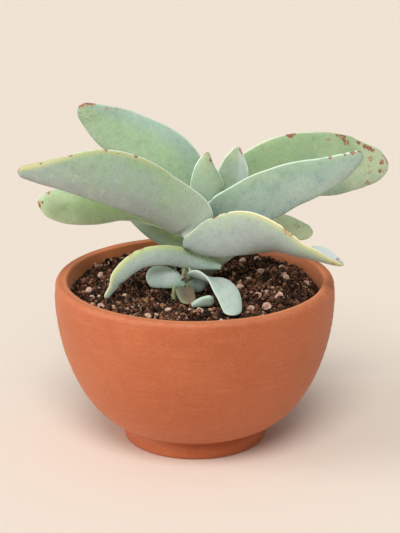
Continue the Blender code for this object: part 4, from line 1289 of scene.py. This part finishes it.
class PLANT_OT_crumbs(bpy.types.Operator):
    """Scatter crumbs, bark chips, stones and pumice over the bed"""

    bl_idname = "plant.crumbs"
    bl_label = "Crumbs and grit"

    def execute(self, context):
        settings = context.scene.plant_soil
        rng = np.random.default_rng(LOOSE_SEED)
        finish = crumb_finish(settings)
        places = clod_places(CLOD_REACH)
        for name, solid, count, sizes, stretch, lift in (
            ("soil_crumbs", icosahedron(), settings.crumbs, (0.3, 1.5), EVEN, 0.3),
            ("soil_dust", octahedron(), settings.dust, (0.25, 0.65), EVEN, 0.4),
            ("soil_bark_chips", icosahedron(), settings.chips, (0.5, 1.3), CHIP, 0.5),
            ("soil_fibres", octahedron(), settings.fibres, (0.25, 0.5), THREAD, 1.6),
        ):
            points, faces, at = crumbs(rng, solid, count, CRUMB_REACH, sizes, stretch, lift, places)
            tint = rng.uniform(0, 1, count) + 0.4 * lumps(at, 7.0, 24)
            tint = np.repeat(tint, len(points) // count)
            add_piece(name, points, faces, finish, "potting_mix", facets=True, tint=tint)
        points, faces = clods(rng, places)
        tint = np.repeat(rng.uniform(0, 0.6, len(places[0])), len(points) // len(places[0]))
        add_piece("soil_clods", points, faces, finish, "potting_mix", facets=True, tint=tint)
        x, y = scattered(rng, settings.small_stones, STONE_REACH)
        sizes = rng.uniform(0.8, 1.5, settings.small_stones)
        hollows = rng.uniform(-0.6, 0.6, settings.small_stones).clip(0)
        stones = STONES + list(zip(x, y, sizes, hollows))
        points, faces, depth = stone_shapes(rng, stones)
        tint = np.repeat(rng.uniform(0, 1, len(stones)), len(depth) // len(stones))
        finish = stone_finish(settings)
        add_piece("soil_grit", points, faces, finish, "potting_mix", tint=tint, hollow=depth)
        count, finish = settings.pumice_bits, pumice_finish(settings)
        points, faces, _ = crumbs(rng, icosahedron(), count, PUMICE_REACH, (0.4, 0.9), EVEN, 0.6, places)
        add_piece("soil_pumice", points, faces, finish, "potting_mix")
        return {"FINISHED"}


class PLANT_OT_stems(bpy.types.Operator):
    """Grow the stem, the offshoot's stem and the small shoot"""

    bl_idname = "plant.stems"
    bl_label = "Stems"

    def execute(self, context):
        finish = stem_finish(context.scene.plant_leaves)
        for name, stem in STEMS.items():
            rings, ends, scar = stem_surface(stem, STEM_ROWS, STEM_SIDES)
            scar = np.append(scar, [0, 1])
            add_tube(name + "_grown", rings, ends, finish, "stem_green", [name], scar=scar)
        return {"FINISHED"}


def grow_leaves(leaves, settings, rows, sides, first_seed, in_frame=True):
    """A piece for each leaf, with its own finish, which stands for the frame's leaf if there is one."""
    for number, (name, leaf) in enumerate(leaves.items()):
        rings, ends, values = blade_surface(leaf, first_seed + 5 * number, rows, sides)
        at_ends = dict(along=(0, 1), across=(0, 0), edge=(0, 0), marks=(0, values["marks"][-1].max()))
        values = {key: np.append(v, at_ends[key]) for key, v in values.items()}
        finish = leaf_finish(name.replace("_", " ").capitalize(), leaf["look"], settings)
        nodes = [name] if in_frame else []
        add_tube(name + "_grown", rings, ends, finish, leaf["slot"], nodes, **values)


class PLANT_OT_leaves(bpy.types.Operator):
    """Grow the main plant's large leaves"""

    bl_idname = "plant.leaves"
    bl_label = "Large leaves"

    def execute(self, context):
        grow_leaves(LEAVES, context.scene.plant_leaves, rows=150, sides=72, first_seed=100)
        return {"FINISHED"}


class PLANT_OT_small_leaves(bpy.types.Operator):
    """Grow the young leaves at the tip, and the leaves of the offshoot and the seedling"""

    bl_idname = "plant.small_leaves"
    bl_label = "Small leaves"

    def execute(self, context):
        settings = context.scene.plant_leaves
        grow_leaves(SMALL_LEAVES, settings, rows=80, sides=56, first_seed=200)
        grow_leaves(REMNANTS, settings, rows=40, sides=32, first_seed=300, in_frame=False)
        return {"FINISHED"}


class PLANT_OT_stage(bpy.types.Operator):
    """Set up the pale floor, the soft light and the camera"""

    bl_idname = "plant.stage"
    bl_label = "Stage"

    def execute(self, context):
        settings = context.scene.plant_stage
        self.make_floor(settings)
        self.make_lights(settings)
        self.make_camera(context, settings)
        return {"FINISHED"}

    def link(self, name, data):
        made = bpy.data.objects.new(name, data)
        bpy.context.scene.collection.objects.link(made)
        return made

    def make_floor(self, settings):
        """A flat disc of paper, wide enough to fill the view behind the pot."""
        disc = round_axis(settings.floor_radius, 0.0, turns(96))[0]
        mesh = bpy.data.meshes.new("floor")
        mesh.from_pydata(disc, [], [range(len(disc))])
        mesh.materials.append(floor_finish(settings.floor))
        self.link("floor", mesh)

    def make_lights(self, settings):
        """A low light from the left, a high one above the camera, a broad sky and an even fill."""
        for name, spread, place in LIGHTS:
            sun = bpy.data.lights.new(name, "SUN")
            sun.energy = getattr(settings, name)
            sun.angle = math.radians(spread)
            self.link(name, sun).rotation_euler = Vector(place).to_track_quat("Z", "Y").to_euler()
        world = bpy.data.worlds.new("fill")
        world.use_nodes = True
        background = world.node_tree.nodes["Background"]
        background.inputs["Color"].default_value = FILL_COLOUR
        background.inputs["Strength"].default_value = settings.fill
        bpy.context.scene.world = world

    def make_camera(self, context, settings):
        """The photograph's view: level with nothing rolled, from the front and a little above."""
        lens = bpy.data.cameras.new("camera")
        lens.lens = settings.lens
        lens.sensor_width = 36.0
        camera = self.link("camera", lens)
        back = Vector((0.0, -math.cos(settings.pitch), math.sin(settings.pitch)))
        target = Vector(np.array(CAMERA_TARGET) * MM + AXIS)
        camera.location = target + back * settings.distance
        camera.rotation_euler = (math.pi / 2 - settings.pitch, 0.0, 0.0)
        context.scene.camera = camera
        context.scene.view_settings.view_transform = "Standard"


# Each group of settings, and the operators that use it, in the order in which main() calls them.
GROUPS = {
    "plant_pot": (PotSettings, [PLANT_OT_pot]),
    "plant_soil": (SoilSettings, [PLANT_OT_soil, PLANT_OT_crumbs]),
    "plant_leaves": (PlantSettings, [PLANT_OT_stems, PLANT_OT_leaves, PLANT_OT_small_leaves]),
    "plant_stage": (StageSettings, [PLANT_OT_stage]),
}


class PLANT_PT_panel(bpy.types.Panel):
    """Sizes, colours and the buttons that make each piece"""

    bl_label = "Potted plant"
    bl_idname = "PLANT_PT_panel"
    bl_space_type = "VIEW_3D"
    bl_region_type = "UI"
    bl_category = "Plant"

    def draw(self, context):
        for group, (kind, operators) in GROUPS.items():
            box = self.layout.box()
            for key in kind.__annotations__:
                box.prop(getattr(context.scene, group), key, text=key.replace("_", " ").capitalize())
            for operator in operators:
                box.operator(operator.bl_idname)


def register():
    for key, (kind, operators) in GROUPS.items():
        for each in (kind, *operators):
            bpy.utils.register_class(each)
        setattr(bpy.types.Scene, key, PointerProperty(type=kind))
    bpy.utils.register_class(PLANT_PT_panel)


def unregister():
    bpy.utils.unregister_class(PLANT_PT_panel)
    for key, (kind, operators) in GROUPS.items():
        delattr(bpy.types.Scene, key)
        for each in (*operators, kind):
            bpy.utils.unregister_class(each)


def main():
    register()
    bpy.ops.plant.pot()
    bpy.ops.plant.soil()
    bpy.ops.plant.crumbs()
    bpy.ops.plant.stems()
    bpy.ops.plant.leaves()
    bpy.ops.plant.small_leaves()
    bpy.ops.plant.stage()


if __name__ == "__main__":
    main()
